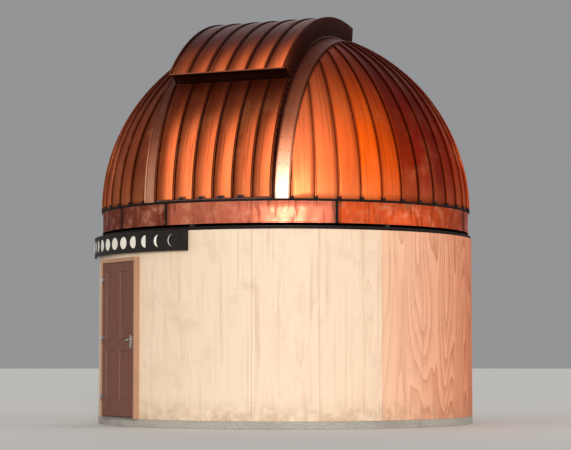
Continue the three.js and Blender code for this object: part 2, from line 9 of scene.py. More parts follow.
import logging
import random
from collections.abc import Callable, Sequence
from dataclasses import dataclass, field
from enum import Enum
from functools import cache
from itertools import product
from math import acos, asin, atan, atan2, ceil, cos, degrees, pi, radians, sin, sqrt, tan

import bmesh
import bpy
from mathutils import Matrix, Vector


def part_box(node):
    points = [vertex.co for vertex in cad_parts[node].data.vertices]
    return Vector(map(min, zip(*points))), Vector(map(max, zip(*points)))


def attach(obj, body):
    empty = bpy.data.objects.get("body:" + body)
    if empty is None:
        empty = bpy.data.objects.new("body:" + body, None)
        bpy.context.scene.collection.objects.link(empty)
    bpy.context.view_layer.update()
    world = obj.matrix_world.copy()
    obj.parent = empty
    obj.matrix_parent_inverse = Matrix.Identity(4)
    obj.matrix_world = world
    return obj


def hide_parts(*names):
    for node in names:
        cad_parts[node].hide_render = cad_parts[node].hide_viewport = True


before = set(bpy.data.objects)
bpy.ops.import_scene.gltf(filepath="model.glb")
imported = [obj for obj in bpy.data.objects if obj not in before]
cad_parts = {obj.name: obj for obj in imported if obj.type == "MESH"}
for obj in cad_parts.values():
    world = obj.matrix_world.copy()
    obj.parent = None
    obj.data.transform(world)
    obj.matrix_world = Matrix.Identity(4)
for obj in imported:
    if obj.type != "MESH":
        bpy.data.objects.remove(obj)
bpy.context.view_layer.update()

LOG = logging.getLogger("observatory")
SIDES = (("right", 1), ("left", -1))
X_AXIS, Y_AXIS, Z_AXIS = Vector((1, 0, 0)), Vector((0, 1, 0)), Vector((0, 0, 1))

Color = tuple[float, float, float, float]
Pair = tuple[float, float]
Outline = Sequence[Pair]
Rows = Sequence[Sequence[Vector]]
Spot = tuple[Vector, Vector]
Inputs = dict[str | int, object]
Material = bpy.types.Material
Piece = bpy.types.Object
Tree = bpy.types.NodeTree


def srgb(red: int, green: int, blue: int) -> Color:
    """Linear colour, with full opacity, of an sRGB colour given from 0 to 255."""
    shares = [value / 255 for value in (red, green, blue)]
    return *[s / 12.92 if s <= 0.04045 else ((s + 0.055) / 1.055) ** 2.4 for s in shares], 1.0


@dataclass(frozen=True)
class Site:
    """Sizes that several sub-assemblies share."""

    wall_radius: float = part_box("floor_slab")[1].x - 0.002
    slab_top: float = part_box("floor_slab")[1].z
    wall_top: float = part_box("wall_panel_1")[1].z
    spring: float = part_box("dome_base_ring")[1].z
    dome_radius: float = 2.515
    gores: int = 52
    slit_bearing: float = 36.0
    fine_step: float = 1.75
    touch: float = 0.0003
    shell: float = 0.012
    rail_top: float = 2.412
    hinge: Pair = (-2.47, 0.034)
    hinges: tuple[float, ...] = (-0.409, -0.136, 0.136, 0.409)
    sleeve_half: float = 0.028

    def place(self, body: str) -> Matrix:
        """Matrix that puts what is drawn for a body in its place."""
        if body in ("building", "door"):
            return Matrix.Identity(4)
        return Matrix.Translation((0, 0, self.spring)) @ Matrix.Rotation(radians(self.slit_bearing), 4, "Z")


SITE = Site()


def heading(bearing: float) -> Vector:
    """Unit vector in plan at a bearing in degrees."""
    return Vector((sin(radians(bearing)), -cos(radians(bearing)), 0))


def ring_point(bearing: float, radius: float, height: float) -> Vector:
    """Point at a bearing, a radius in plan and a height."""
    return heading(bearing) * radius + Vector((0, 0, height))


def arch_point(x: float, radius: float, angle: float) -> Vector:
    """Point at a distance across the slit, a radius and an arch angle."""
    return Vector((x, -radius * cos(radians(angle)), radius * sin(radians(angle))))


def dome_point(bearing: float, rise: float, radius: float) -> Vector:
    """Point of the dome at a bearing, a height angle in degrees and a radius."""
    return heading(bearing) * radius * cos(radians(rise)) + Vector((0, 0, radius * sin(radians(rise))))


def ball_radius(x: float, radius: float) -> float:
    """Radius in the plane of the arch at a distance across the slit, on a ball about the centre."""
    return sqrt(radius * radius - x * x)


def steps(start: float, end: float, largest: float) -> list[float]:
    """Even values from start to end, no further apart than the largest step."""
    count = max(1, ceil(abs(end - start) / largest - 1e-6))
    return [start + (end - start) * i / count for i in range(count + 1)]


def pairs(values: Sequence[float]) -> list[Pair]:
    """Each value with the next one."""
    return list(zip(values, values[1:]))


def lerp(a: float, b: float, share: float) -> float:
    """Value between a and b."""
    return a + (b - a) * share


def limited(value: float) -> float:
    """Value held between 0 and 1."""
    return max(0.0, min(1.0, value))


def smooth(value: float, low: float, high: float) -> float:
    """Share from 0 to 1 of a value between low and high, with soft ends."""
    share = limited((value - low) / (high - low))
    return share * share * (3 - 2 * share)


def rectangle(a0: float, a1: float, b0: float, b1: float) -> list[Pair]:
    """Corners of a rectangle in order."""
    return [(a0, b0), (a1, b0), (a1, b1), (a0, b1)]


def circle(centre: Vector, axis: Vector, across: Vector, radius: float, sides: int) -> list[Vector]:
    """Points of a circle about an axis.

    Args:
        centre: Its middle.
        axis: Unit vector along its axis.
        across: Unit vector towards its first point.
        radius: Its radius.
        sides: Number of its points.

    Returns:
        The points in order.
    """
    up = axis.cross(across)
    turns = [2 * pi * k / sides for k in range(sides)]
    return [centre + (across * cos(t) + up * sin(t)) * radius for t in turns]


@dataclass(frozen=True)
class Skin:
    """What a finish reads at a point of a sheet.

    tone goes from dark to light, across from one edge of the panel to the other, and warmth from
    brown over salmon and orange to deep red.
    """

    tone: float = 0.5
    across: float = 0.5
    warmth: float = 0.4

    def faded(self, share: float) -> "Skin":
        """This skin with its tone scaled for painted shade, less so at the edge of a panel that stays light.
        """
        return Skin(self.tone * share ** (1.5 - self.across), self.across, self.warmth)


NEUTRAL = Skin()
# A black skin laid as painted shade on the shutters' side walls, the hood's front baffle and the flashings'
# inner strips.
SHADE_SKIN = Skin(0.0, 0.0, 0.2)
Skins = Sequence[Sequence[Skin]] | Skin


class Draft:
    """Points, faces and skins of a mesh in the making."""

    def __init__(self) -> None:
        """Starts an empty mesh."""
        self.points: list[Vector] = []
        self.skins: list[Skin] = []
        self.faces: list[tuple[int, ...]] = []

    def add_rows(self, rows: Rows, skins: Skins) -> list[range]:
        """Adds rows of points.

        Args:
            rows: Places of the points.
            skins: One skin for all, or rows of skins to match.

        Returns:
            The indices of each row's points.
        """
        made = []
        for i, row in enumerate(rows):
            made.append(range(len(self.points), len(self.points) + len(row)))
            self.points.extend(row)
            self.skins.extend([skins] * len(row) if isinstance(skins, Skin) else skins[i])
        return made

    def loft(self, sections: Rows, skins: Skins = NEUTRAL, looped: bool = False) -> None:
        """Adds a closed body through matching sections.

        Args:
            sections: Outlines of the body, each with the same number of points.
            skins: One skin for all, or rows of skins to match.
            looped: Whether the last section joins the first, with no caps.
        """
        rows = self.add_rows(sections, skins)
        for here, there in zip(rows, rows[1:] + rows[:1] if looped else rows[1:]):
            for j in range(len(here)):
                k = (j + 1) % len(here)
                self.faces.append((here[j], here[k], there[k], there[j]))
        if not looped:
            self.faces += [tuple(reversed(rows[0])), tuple(rows[-1])]

    def sheet(self, rows: Rows, skins: Sequence[Sequence[Skin]]) -> None:
        """Adds an open sheet whose outer side looks away from the centre.

        Args:
            rows: Rows of points, each of the same length.
            skins: Rows of skins to match.
        """
        made = self.add_rows(rows, skins)
        low, high = rows[0], rows[-1]
        facing = (low[-1] - low[0]).cross(high[len(high) // 2] - low[len(low) // 2])
        order = 1 if facing.dot(low[0] + high[-1]) > 0 else -1
        for here, there in zip(made, made[1:]):
            for j in range(len(here) - 1):
                self.faces.append((here[j], here[j + 1], there[j + 1], there[j])[::order])

    def tube(self, path: Sequence[Vector], radii: Sequence[float], sides: int, skin: Skin = NEUTRAL) -> None:
        """Adds a round bar with closed ends along a path.

        Args:
            path: Points of its middle line.
            radii: Its radius at each point of the path.
            sides: Number of its sides.
            skin: Its skin.
        """
        across = (path[1] - path[0]).orthogonal().normalized()
        sections = []
        for i, centre in enumerate(path):
            along = (path[min(i + 1, len(path) - 1)] - path[max(i - 1, 0)]).normalized()
            across = (across - along * across.dot(along)).normalized()
            sections.append(circle(centre, along, across, radii[i], sides))
        self.loft(sections, skin)

    def turned(self, origin: Vector, axis: Vector, profile: Outline, sides: int = 32) -> None:
        """Adds a turned body.

        Args:
            origin: Point on its axis that distances are measured from.
            axis: Unit vector along its axis.
            profile: Pairs of distance along the axis and radius, from one end to the other.
            sides: Number of its sides.
        """
        across = axis.orthogonal().normalized()
        self.loft([circle(origin + axis * at, axis, across, radius, sides) for at, radius in profile])

    def bent(self, outline: Outline, bearings: Sequence[float], looped: bool = False) -> None:
        """Adds a bar of an outline of radii and heights, bent through bearings, or closed to a ring."""
        self.loft([[ring_point(b, radius, z) for radius, z in outline] for b in bearings], looped=looped)

    def ring(self, outline: Outline) -> None:
        """Adds a full ring of an outline of radii and heights."""
        self.bent(outline, steps(0, 360, SITE.fine_step)[:-1], looped=True)

    def upright(self, outline: Outline, ends: Pair, skins: Sequence[Skin] | Skin = NEUTRAL) -> None:
        """Adds a body of an outline of bearings and radii between two heights."""
        rows = skins if isinstance(skins, Skin) else [skins, skins]
        self.loft([[ring_point(bearing, radius, z) for bearing, radius in outline] for z in ends], rows)

    def prism(self, outline: Outline, axis: int, ends: Pair, bearing: float = 0.0) -> None:
        """Adds a straight body of an outline.

        Args:
            outline: Points on the two other axes.
            axis: Axis that the body runs along: 0, 1 or 2.
            ends: Its ends on that axis.
            bearing: Turn about the building's middle.
        """
        turn = Matrix.Rotation(radians(bearing), 3, "Z")
        self.loft([[turn @ Vector((*point[:axis], end, *point[axis:])) for point in outline] for end in ends])

    def box(self, x: Pair, y: Pair, z: Pair) -> None:
        """Adds a box between two values on each axis."""
        self.prism(rectangle(*x, *y), 2, z)

    def arch(
        self,
        outline: Outline,
        angles: Sequence[float],
        skins: Sequence[Skin] | Skin = NEUTRAL,
        fade: Callable[[float], float] = lambda angle: 1.0,
    ) -> None:
        """Adds an arch of an outline.

        Args:
            outline: Distances across and radii.
            angles: Arch angles of its sections.
            skins: One skin, or one for each point of the outline.
            fade: Share of the skins' tone at an arch angle.
        """
        rows = skins if isinstance(skins, Skin) else [[skin.faded(fade(a)) for skin in skins] for a in angles]
        self.loft([[arch_point(x, radius, angle) for x, radius in outline] for angle in angles], rows)

    def build(self, name: str, body: str, closed: bool = True) -> Piece:
        """Makes the object.

        Args:
            name: Name of the object.
            body: Body that it is drawn for.
            closed: Whether it holds closed bodies only, whose faces are then turned outwards.

        Returns:
            The object, at the origin.
        """
        mesh = bpy.data.meshes.new(name)
        mesh.from_pydata([tuple(point) for point in self.points], [], self.faces)
        paint(mesh, self.skins)
        if closed:
            work = bmesh.new()
            work.from_mesh(mesh)
            bmesh.ops.recalc_face_normals(work, faces=work.faces)
            work.to_mesh(mesh)
            work.free()
        mesh.transform(SITE.place(body))
        return linked(name, mesh)

    def make(self, name: str, material: Material, body: str, slot: str, *nodes: str, **edges: float) -> None:
        """Makes a closed piece and dresses it."""
        dress(self.build(name, body), material, body, slot, *nodes, **edges)


def linked(name: str, data: bpy.types.ID) -> Piece:
    """Object of a mesh, light or camera, in the scene."""
    made = bpy.data.objects.new(name, data)
    bpy.context.scene.collection.objects.link(made)
    return made


def paint(mesh: bpy.types.Mesh, skins: Sequence[Skin]) -> None:
    """Gives the points of a mesh what its finish reads."""
    for channel in ("tone", "across", "warmth"):
        layer = mesh.attributes.new(channel, "FLOAT", "POINT")
        layer.data.foreach_set("value", [getattr(skin, channel) for skin in skins])


def dress(
    piece: Piece,
    material: Material,
    body: str,
    slot: str,
    *nodes: str,
    bevel: float = 0.0,
    thickness: float = 0.0,
) -> None:
    """Gives a piece its finish, edges and body.

    Args:
        piece: The piece, with its final mesh.
        material: Its material.
        body: Body that it rides on.
        slot: Material slot of the record; not used.
        nodes: Nodes that it stands for.
        bevel: Width of its rounded edges.
        thickness: Thickness given to an open sheet, inwards.
    """
    crease = radians(35)
    if not piece.data.materials:
        piece.data.materials.append(material)
    piece.data.shade_smooth()
    piece.data.set_sharp_from_angle(angle=crease)
    if thickness:
        wall = piece.modifiers.new("thickness", "SOLIDIFY")
        wall.thickness = thickness
        wall.offset = -1
    if bevel:
        edge = piece.modifiers.new("edges", "BEVEL")
        edge.width = bevel
        edge.segments = 2
        edge.limit_method = "ANGLE"
        edge.angle_limit = crease
        edge.harden_normals = True
    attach(piece, body)
    if nodes:
        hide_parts(*nodes)
    LOG.info("%s: %d faces on %s", piece.name, len(piece.data.polygons), body)


class Value:
    """Output of a node. Sums with it add the nodes that work them out."""

    def __init__(self, graph: "NodeGraph", socket: bpy.types.NodeSocket) -> None:
        """Stands for an output of a node."""
        self.graph, self.socket = graph, socket

    def __add__(self, other: object) -> "Value":
        """Sum."""
        return self.graph.math("ADD", self, other)

    def __sub__(self, other: object) -> "Value":
        """Difference."""
        return self.graph.math("SUBTRACT", self, other)

    def __rsub__(self, other: object) -> "Value":
        """Difference from a number."""
        return self.graph.math("SUBTRACT", other, self)

    def __mul__(self, other: object) -> "Value":
        """Product."""
        return self.graph.math("MULTIPLY", self, other)

    def __rtruediv__(self, other: object) -> "Value":
        """Number divided by it."""
        return self.graph.math("DIVIDE", other, self)


class NodeGraph:
    """Adds nodes to a tree and joins them."""

    def __init__(self, tree: Tree) -> None:
        """Works on a tree."""
        self.tree = tree

    def node(self, kind: str, inputs: Inputs, **settings: object) -> bpy.types.Node:
        """Adds a node.

        Args:
            kind: Its type.
            inputs: Values for its inputs, by name or index.
            settings: Its other settings.

        Returns:
            The node.
        """
        node = self.tree.nodes.new(kind)
        for name, value in settings.items():
            setattr(node, name, value)
        for name, value in inputs.items():
            self.feed(node.inputs[name], value)
        return node

    def add(
        self, kind: str, inputs: Inputs | None = None, output: str | int = 0, **settings: object,
    ) -> Value:
        """Adds a node and gives one of its outputs."""
        return Value(self, self.node(kind, inputs or {}, **settings).outputs[output])

    def feed(self, socket: bpy.types.NodeSocket, value: object) -> None:
        """Links an output to an input, or sets the input's value.

        Args:
            socket: The input.
            value: Output of a node, or a plain value.
        """
        if isinstance(value, Value):
            self.tree.links.new(value.socket, socket)
        else:
            socket.default_value = value

    def declare(self, way: str, label: str, kind: str, value: object = None) -> None:
        """Adds an input or output of a group, with its first value."""
        socket = self.tree.interface.new_socket(name=label, in_out=way, socket_type=f"NodeSocket{kind}")
        if value is not None:
            socket.default_value = value

    def entries(self) -> dict[str, Value]:
        """Inputs of a group by name."""
        return {socket.name: Value(self, socket) for socket in self.node("NodeGroupInput", {}).outputs}

    def math(self, operation: str, *values: object, clamp: bool = False) -> Value:
        """Result of a sum on up to three values."""
        return self.add("ShaderNodeMath", dict(enumerate(values)), operation=operation, use_clamp=clamp)

    def vector(self, x: object = 0.0, y: object = 0.0, z: object = 0.0) -> Value:
        """Vector of three values."""
        return self.add("ShaderNodeCombineXYZ", {0: x, 1: y, 2: z})


class ShaderGraph(NodeGraph):
    """Shader nodes by what they do."""

    def product(self, first: object, second: object) -> Value:
        """Product held between 0 and 1."""
        return self.math("MULTIPLY", first, second, clamp=True)

    def vector_math(self, operation: str, *values: object) -> Value:
        """Vector result of a sum on vectors."""
        return self.add("ShaderNodeVectorMath", dict(enumerate(values)), operation=operation)

    def part(self, vector: Value, index: int) -> Value:
        """One of the three values of a vector."""
        return self.add("ShaderNodeSeparateXYZ", {0: vector}, index)

    def spread(self, value: Value, *ends: object) -> Value:
        """Value between two ends brought smoothly to between two more, or 0 and 1, and held there."""
        inputs = {"Value": value, **dict(zip(("From Min", "From Max", "To Min", "To Max"), ends))}
        return self.add("ShaderNodeMapRange", inputs, interpolation_type="SMOOTHSTEP")

    def mix(self, share: Value, first: object, second: object) -> Value:
        """Colour between two colours."""
        return self.add("ShaderNodeMix", {0: share, 6: first, 7: second}, 2, data_type="RGBA")

    def noise(self, vector: Value, scale: object, detail: float, roughness: float) -> Value:
        """Value of a noise from 0 to 1."""
        inputs = {"Vector": vector, "Scale": scale, "Detail": detail, "Roughness": roughness}
        return self.add("ShaderNodeTexNoise", inputs)

    def channel(self, name: str) -> Value:
        """Value that a mesh carries under a name."""
        return self.add("ShaderNodeAttribute", output="Fac", attribute_name=name)

    def effect(self, tree: Tree, **values: object) -> Value:
        """Output of a node group with its inputs fed by name, _ standing for a space."""
        inputs = {name.replace("_", " "): value for name, value in values.items()}
        return self.add("ShaderNodeGroup", inputs, node_tree=tree)


class Effect(ShaderGraph):
    """Shader node group in the making."""

    def __init__(self, name: str, inputs: dict[str, float | None], output: str = "Mask") -> None:
        """Starts the group.

        Args:
            name: Name of the group.
            inputs: Its inputs by name: a number, or None for a vector.
            output: Name of its output. A flow is a vector.
        """
        super().__init__(bpy.data.node_groups.new(name, "ShaderNodeTree"))
        for label, value in inputs.items():
            self.declare("INPUT", label, "Vector" if value is None else "Float", value)
        self.declare("OUTPUT", output, "Vector" if output == "Flow" else "Float")
        self.entry = self.entries()

    def parts(self) -> list[Value]:
        """The three values of the group's vector."""
        return [self.part(self.entry["Vector"], i) for i in range(3)]

    def scaled(self, factors: object) -> Value:
        """The group's flow with its three values scaled."""
        return self.vector_math("MULTIPLY", self.entry["Flow"], factors)

    def shifted(self, place: Value) -> Value:
        """Place moved by the group's shift."""
        shift = self.entry["Shift"]
        return self.vector_math("ADD", place, self.vector(shift, shift, shift))

    def mask(self, value: Value) -> Tree:
        """Closes the group with where a value passes its start, as softly as its softness."""
        start = self.entry["Start"]
        return self.close(self.spread(value, start, start + self.entry["Softness"]))

    def close(self, result: Value) -> Tree:
        """Joins the result to the group's output."""
        self.node("NodeGroupOutput", {0: result})
        return self.tree


@cache
def meridian_flow() -> Tree:
    """Group that unrolls a wall or dome: two values round it and its height, in metres.

    Returns:
        The node group.
    """
    effect = Effect("meridian_flow", {"Vector": None, "Radius": 2.5}, "Flow")
    x, y, z = effect.parts()
    inputs = {0: effect.vector_math("NORMALIZE", effect.vector(x, y)), "Scale": effect.entry["Radius"]}
    around = effect.add("ShaderNodeVectorMath", inputs, operation="SCALE")
    return effect.close(effect.vector_math("ADD", around, effect.vector(z=z)))


@cache
def arch_flow() -> Tree:
    """Group that unrolls an arch: the distance across it, and the length along it, in metres.

    Returns:
        The node group.
    """
    effect = Effect("arch_flow", {"Vector": None, "Radius": 2.5}, "Flow")
    x, y, z = effect.parts()
    return effect.close(effect.vector(x, z=effect.math("ARCTAN2", z, y * -1.0) * effect.entry["Radius"]))


@cache
def rain_streaks() -> Tree:
    """Group whose mask runs in streaks along a flow.

    Returns:
        The node group.
    """
    inputs = {"Flow": None, "Width": 0.03, "Length": 1.5, "Start": 0.5, "Softness": 0.2, "Shift": 0.0}
    effect = Effect("rain_streaks", inputs)
    thin = 1.0 / effect.entry["Width"]
    place = effect.shifted(effect.scaled(effect.vector(thin, thin, 1.0 / effect.entry["Length"])))
    return effect.mask(effect.noise(place, 1.0, 3.0, 0.6))


@cache
def blotches() -> Tree:
    """Group whose mask lies in soft patches with ragged edges.

    Returns:
        The node group.
    """
    effect = Effect("blotches", {"Vector": None, "Size": 0.3, "Start": 0.5, "Softness": 0.15, "Shift": 0.0})
    place = effect.shifted(effect.entry["Vector"])
    return effect.mask(effect.noise(place, 1.0 / effect.entry["Size"], 5.0, 0.62))


@cache
def crease_dirt() -> Tree:
    """Group whose mask gathers at both edges of a panel, as dirt and painted shade in the creases.

    Returns:
        The node group.
    """
    effect = Effect("crease_dirt", {"Across": 0.5, "Reach": 0.1, "Vector": None})
    edge = 0.5 - effect.math("ABSOLUTE", effect.entry["Across"] - 0.5)
    ragged = effect.noise(effect.entry["Vector"], 9.0, 4.0, 0.65) * effect.entry["Reach"]
    return effect.close(1.0 - effect.spread(edge, 0.0, ragged + effect.entry["Reach"] * 0.4))


@cache
def sheet_relief() -> Tree:
    """Group that puts out the height of fine grain and shallow dents.

    Returns:
        The node group.
    """
    effect = Effect("sheet_relief", {"Flow": None, "Grain": 0.004, "Dent": 0.25, "Dent Share": 0.6}, "Height")
    entry = effect.entry
    fine = effect.noise(entry["Flow"], 1.0 / entry["Grain"], 2.0, 0.5)
    broad = effect.noise(entry["Flow"], 1.0 / entry["Dent"], 2.0, 0.4)
    return effect.close(broad * entry["Dent Share"] + fine * 0.05)


@cache
def wood_grain() -> Tree:
    """Group whose mask draws long grain with wide arches, as on rotary-cut sheets.

    Returns:
        The node group.
    """
    effect = Effect("wood_grain", {"Flow": None, "Arch": 0.45, "Rings": 34.0, "Stretch": 9.0})
    place = effect.scaled(effect.vector(1.0, 1.0, 1.0 / effect.entry["Stretch"]))
    hills = effect.noise(place, 1.0 / effect.entry["Arch"], 1.5, 0.4)
    ring = effect.math("POWER", effect.math("FRACT", hills * effect.entry["Rings"]), 1.6)
    fibre = effect.noise(effect.scaled((1.0, 1.0, 0.04)), 160.0, 2.0, 0.6)
    return effect.close(effect.product(ring, effect.spread(fibre, 0.3, 0.75, 0.35, 1.0)))


class Flow(Enum):
    """Way in which water runs over a surface."""

    WALL = "down a round wall or the dome's meridians"
    ARCH = "along the arch of the slit"


class Finish(ShaderGraph):
    """Material in the making, with its coordinates about the dome's centre and unrolled."""

    def __init__(self, name: str, way: Flow = Flow.WALL) -> None:
        """Starts the material.

        Args:
            name: Its name.
            way: Way in which water runs over its surface.
        """
        self.material = bpy.data.materials.new(name)
        self.material.use_nodes = True
        super().__init__(self.material.node_tree)
        self.place = self.add("ShaderNodeMapping", {
            "Vector": self.add("ShaderNodeTexCoord", output="Object"),
            "Location": (0, 0, -SITE.spring),
            "Rotation": (0, 0, -radians(SITE.slit_bearing)),
        }, vector_type="POINT")
        self.flow = self.effect(meridian_flow() if way is Flow.WALL else arch_flow(), Vector=self.place)

    def patches(self, over: Value, size: float, start: float, soft: float, shift: float = 0.0) -> Value:
        """Mask of soft patches over coordinates."""
        return self.effect(blotches(), Vector=over, Size=size, Start=start, Softness=soft, Shift=shift)

    def streaks(self, width: float, length: float, start: float, soft: float, shift: float = 0.0) -> Value:
        """Mask of streaks along the flow."""
        inputs = {"Width": width, "Length": length, "Start": start, "Softness": soft, "Shift": shift}
        return self.effect(rain_streaks(), Flow=self.flow, **inputs)

    def close(
        self,
        color: Value,
        rough: Value,
        height: Value,
        relief: float,
        distance: float,
        **values: float | Color,
    ) -> Material:
        """Feeds the surface shader.

        Args:
            color: Its colour.
            rough: Its roughness.
            height: Height of its relief.
            relief: Strength of the relief.
            distance: Depth of the relief in metres.
            values: Its other inputs by name, _ standing for a space.

        Returns:
            The material.
        """
        surface = self.tree.nodes["Principled BSDF"].inputs
        self.feed(surface["Base Color"], color)
        self.feed(surface["Roughness"], rough)
        bump = {"Height": height, "Strength": relief, "Distance": distance}
        self.feed(surface["Normal"], self.add("ShaderNodeBump", bump))
        for name, value in values.items():
            surface[name.replace("_", " ")].default_value = value
        return self.material


@dataclass(frozen=True)
class SheetMetal:
    """Weathered coppery sheet metal with painted shade and highlight. Its colour follows each panel's warmth
    and tone.
    """

    name: str
    way: Flow
    colors: tuple[Color, ...]
    stops: tuple[float, ...]
    streak: Color = srgb(84, 24, 10)
    streak_width: float = 0.035
    streak_length: float = 2.2
    streak_share: float = 0.5
    # This colour fills the patches and also paints the highlight at the foot.
    patch_and_highlight: Color = srgb(250, 158, 98)
    patch_share: float = 0.18
    # The crease colour darkens both edges of a panel: partly dirt, partly painted shade beside the seams.
    crease: Color = srgb(32, 10, 6)
    crease_reach: float = 0.11
    crease_dirt_shade_share: float = 0.75
    # The crown colour is painted shade that darkens the sheets towards the top.
    crown: Color = srgb(58, 14, 6)
    top_shade_low: float = 0.5
    top_shade_high: float = 1.95
    top_shade_share: float = 0.84
    # These paint a highlight that lightens the sheets near their foot.
    foot_highlight_share: float = 0.3
    foot_highlight_top: float = 0.55
    patch_size: float = 0.5
    metallic: float = 0.4
    roughness: float = 0.38
    gloss: float = 0.14
    edge_tint: Color = srgb(168, 84, 52)
    relief: float = 0.25

    def panel_color(self, graph: Finish) -> Value:
        """Colour of a clean panel by its warmth and tone.

        Args:
            graph: The material in the making.

        Returns:
            The colour.
        """
        node = graph.node("ShaderNodeValToRGB", {0: graph.channel("warmth")})
        ramp = node.color_ramp.elements
        for end in (0, -1):
            ramp[end].position = self.stops[end]
            ramp[end].color = self.colors[end]
        for stop, color in zip(self.stops[1:-1], self.colors[1:-1]):
            ramp.new(stop).color = color
        value = graph.math("MULTIPLY_ADD", graph.channel("tone"), 1.25, 0.16)
        return graph.add("ShaderNodeHueSaturation", {"Color": Value(graph, node.outputs[0]), "Value": value})

    def material(self) -> Material:
        """Builds the material.

        Returns:
            The material.
        """
        graph = Finish(self.name, self.way)
        patches = graph.patches(graph.flow, self.patch_size, 0.45, 0.3)
        broad = graph.streaks(self.streak_width * 3, self.streak_length, 0.42, 0.3, 7.0)
        fine = graph.streaks(self.streak_width, self.streak_length, 0.5, 0.18)
        streaks = graph.math("MAXIMUM", broad * 0.6, fine)
        height = graph.part(graph.place, 2)
        # Painted shade darkens the sheet towards the top, and a painted highlight lightens it near its foot.
        crown = graph.spread(height, self.top_shade_low, self.top_shade_high, 0.0, self.top_shade_share)
        low = graph.spread(height, 0.0, self.foot_highlight_top, self.foot_highlight_share, 0.0)
        foot = graph.product(low, graph.channel("tone"))
        across = graph.channel("across")
        # The crease mask stands for dirt and painted shade at a panel's edges.
        dirt = graph.effect(crease_dirt(), Across=across, Reach=self.crease_reach, Vector=graph.flow)
        color = self.panel_color(graph)
        for share, over in (
            (patches * self.patch_share, self.patch_and_highlight),
            (streaks * self.streak_share, self.streak),
            (crown, self.crown),
            (foot, self.patch_and_highlight),
            (dirt * self.crease_dirt_shade_share, self.crease),
        ):
            color = graph.mix(share, color, over)
        rough = streaks * 0.16 + patches * -0.08 + self.roughness + dirt * 0.2
        return graph.close(
            color, rough, graph.effect(sheet_relief(), Flow=graph.flow), self.relief, 0.01,
            Metallic=self.metallic, Specular_IOR_Level=self.gloss, Specular_Tint=self.edge_tint,
        )


@dataclass(frozen=True)
class PaintedWood:
    """Brushed paint over wood whose grain shows through."""

    name: str
    paint: Color
    grain: Color
    grime: Color
    grain_share: float = 0.5
    warm_share: float = 0.42
    grime_share: float = 0.35
    arch: float = 0.2
    rings: float = 34.0
    roughness: float = 0.55
    gloss: float = 0.4
    relief: float = 0.3
    splash: float = 0.0
    splash_height: float = 0.35
    tint: Color | None = None

    def material(self) -> Material:
        """Builds the material.

        Returns:
            The material.
        """
        graph = Finish(self.name)
        grain = graph.effect(wood_grain(), Flow=graph.flow, Arch=self.arch, Rings=self.rings)
        warm = graph.channel("warmth")
        patches = graph.patches(graph.flow, 0.6, 0.4, 0.35, 3.0)
        faded = graph.math("MAXIMUM", patches, graph.product(warm, 0.7))
        shown = graph.math("MULTIPLY_ADD", warm, self.grain_share, self.grain_share * 0.4)
        # Warmth tints the paint; on the wall, where it rises towards the right limb, this is partly painted
        # warm light.
        tinted = graph.mix(warm * self.warm_share, self.paint, self.tint or self.grain)
        color = graph.mix(graph.product(grain * faded, shown), tinted, self.grain)
        stains = graph.patches(graph.flow, 0.35, 0.52, 0.2, 11.0)
        dirt = graph.math("MAXIMUM", graph.streaks(0.05, 1.6, 0.5, 0.3), stains * 0.5)
        color = graph.mix(dirt * self.grime_share, color, self.grime)
        if self.splash:
            foot = SITE.slab_top - SITE.spring
            low = graph.spread(graph.part(graph.place, 2), foot, foot + self.splash_height, self.splash, 0.0)
            ragged = graph.spread(graph.noise(graph.flow, 7.0, 5.0, 0.7), 0.3, 0.7)
            color = graph.mix(low * ragged, color, self.grime)
        height = grain * -0.5 + graph.noise(graph.flow, 35.0, 3.0, 0.6)
        rough = dirt * 0.15 + self.roughness
        return graph.close(color, rough, height, self.relief, 0.003, Specular_IOR_Level=self.gloss)


@dataclass(frozen=True)
class BareMetal:
    """Zinc-coated or brushed steel with dull patches and a little rust."""

    name: str
    bright: Color
    dull: Color
    rust: Color = srgb(112, 62, 38)
    rust_share: float = 0.3
    spangle: float = 0.03
    metallic: float = 0.85
    roughness: float = 0.36

    def material(self) -> Material:
        """Builds the material.

        Returns:
            The material.
        """
        graph = Finish(self.name)
        cells = graph.add("ShaderNodeTexVoronoi", {"Vector": graph.place, "Scale": 1 / self.spangle}, "Color")
        flakes = graph.add("ShaderNodeSeparateColor", {0: cells})
        worn = graph.patches(graph.place, 0.2, 0.42, 0.3)
        rust = graph.patches(graph.place, 0.07, 0.6, 0.1, 5.0)
        color = graph.mix(flakes * 0.35 + worn * 0.5, self.bright, self.dull)
        color = graph.mix(rust * self.rust_share, color, self.rust)
        rough = worn * 0.18 + self.roughness + rust * 0.25
        scratches = graph.noise(graph.vector_math("MULTIPLY", graph.flow, (4.0, 4.0, 90.0)), 6.0, 2.0, 0.6)
        return graph.close(color, rough, scratches, 0.12, 0.002, Metallic=self.metallic)


@dataclass(frozen=True)
class Mineral:
    """Dull grained stuff such as concrete or rubber."""

    name: str
    base: Color
    speck: Color
    stain: Color
    speck_size: float = 0.02
    stain_share: float = 0.4
    gloss: float = 0.4
    roughness: float = 0.85
    relief: float = 0.4

    def material(self) -> Material:
        """Builds the material.

        Returns:
            The material.
        """
        graph = Finish(self.name)
        specks = graph.patches(graph.place, self.speck_size, 0.5, 0.15)
        stains = graph.patches(graph.place, 0.7, 0.45, 0.25, 4.0)
        color = graph.mix(specks * 0.5, self.base, self.speck)
        color = graph.mix(stains * self.stain_share, color, self.stain)
        height = specks + graph.noise(graph.place, 90.0, 4.0, 0.7)
        rough = self.roughness - stains * 0.12
        return graph.close(color, rough, height, self.relief, 0.003, Specular_IOR_Level=self.gloss)


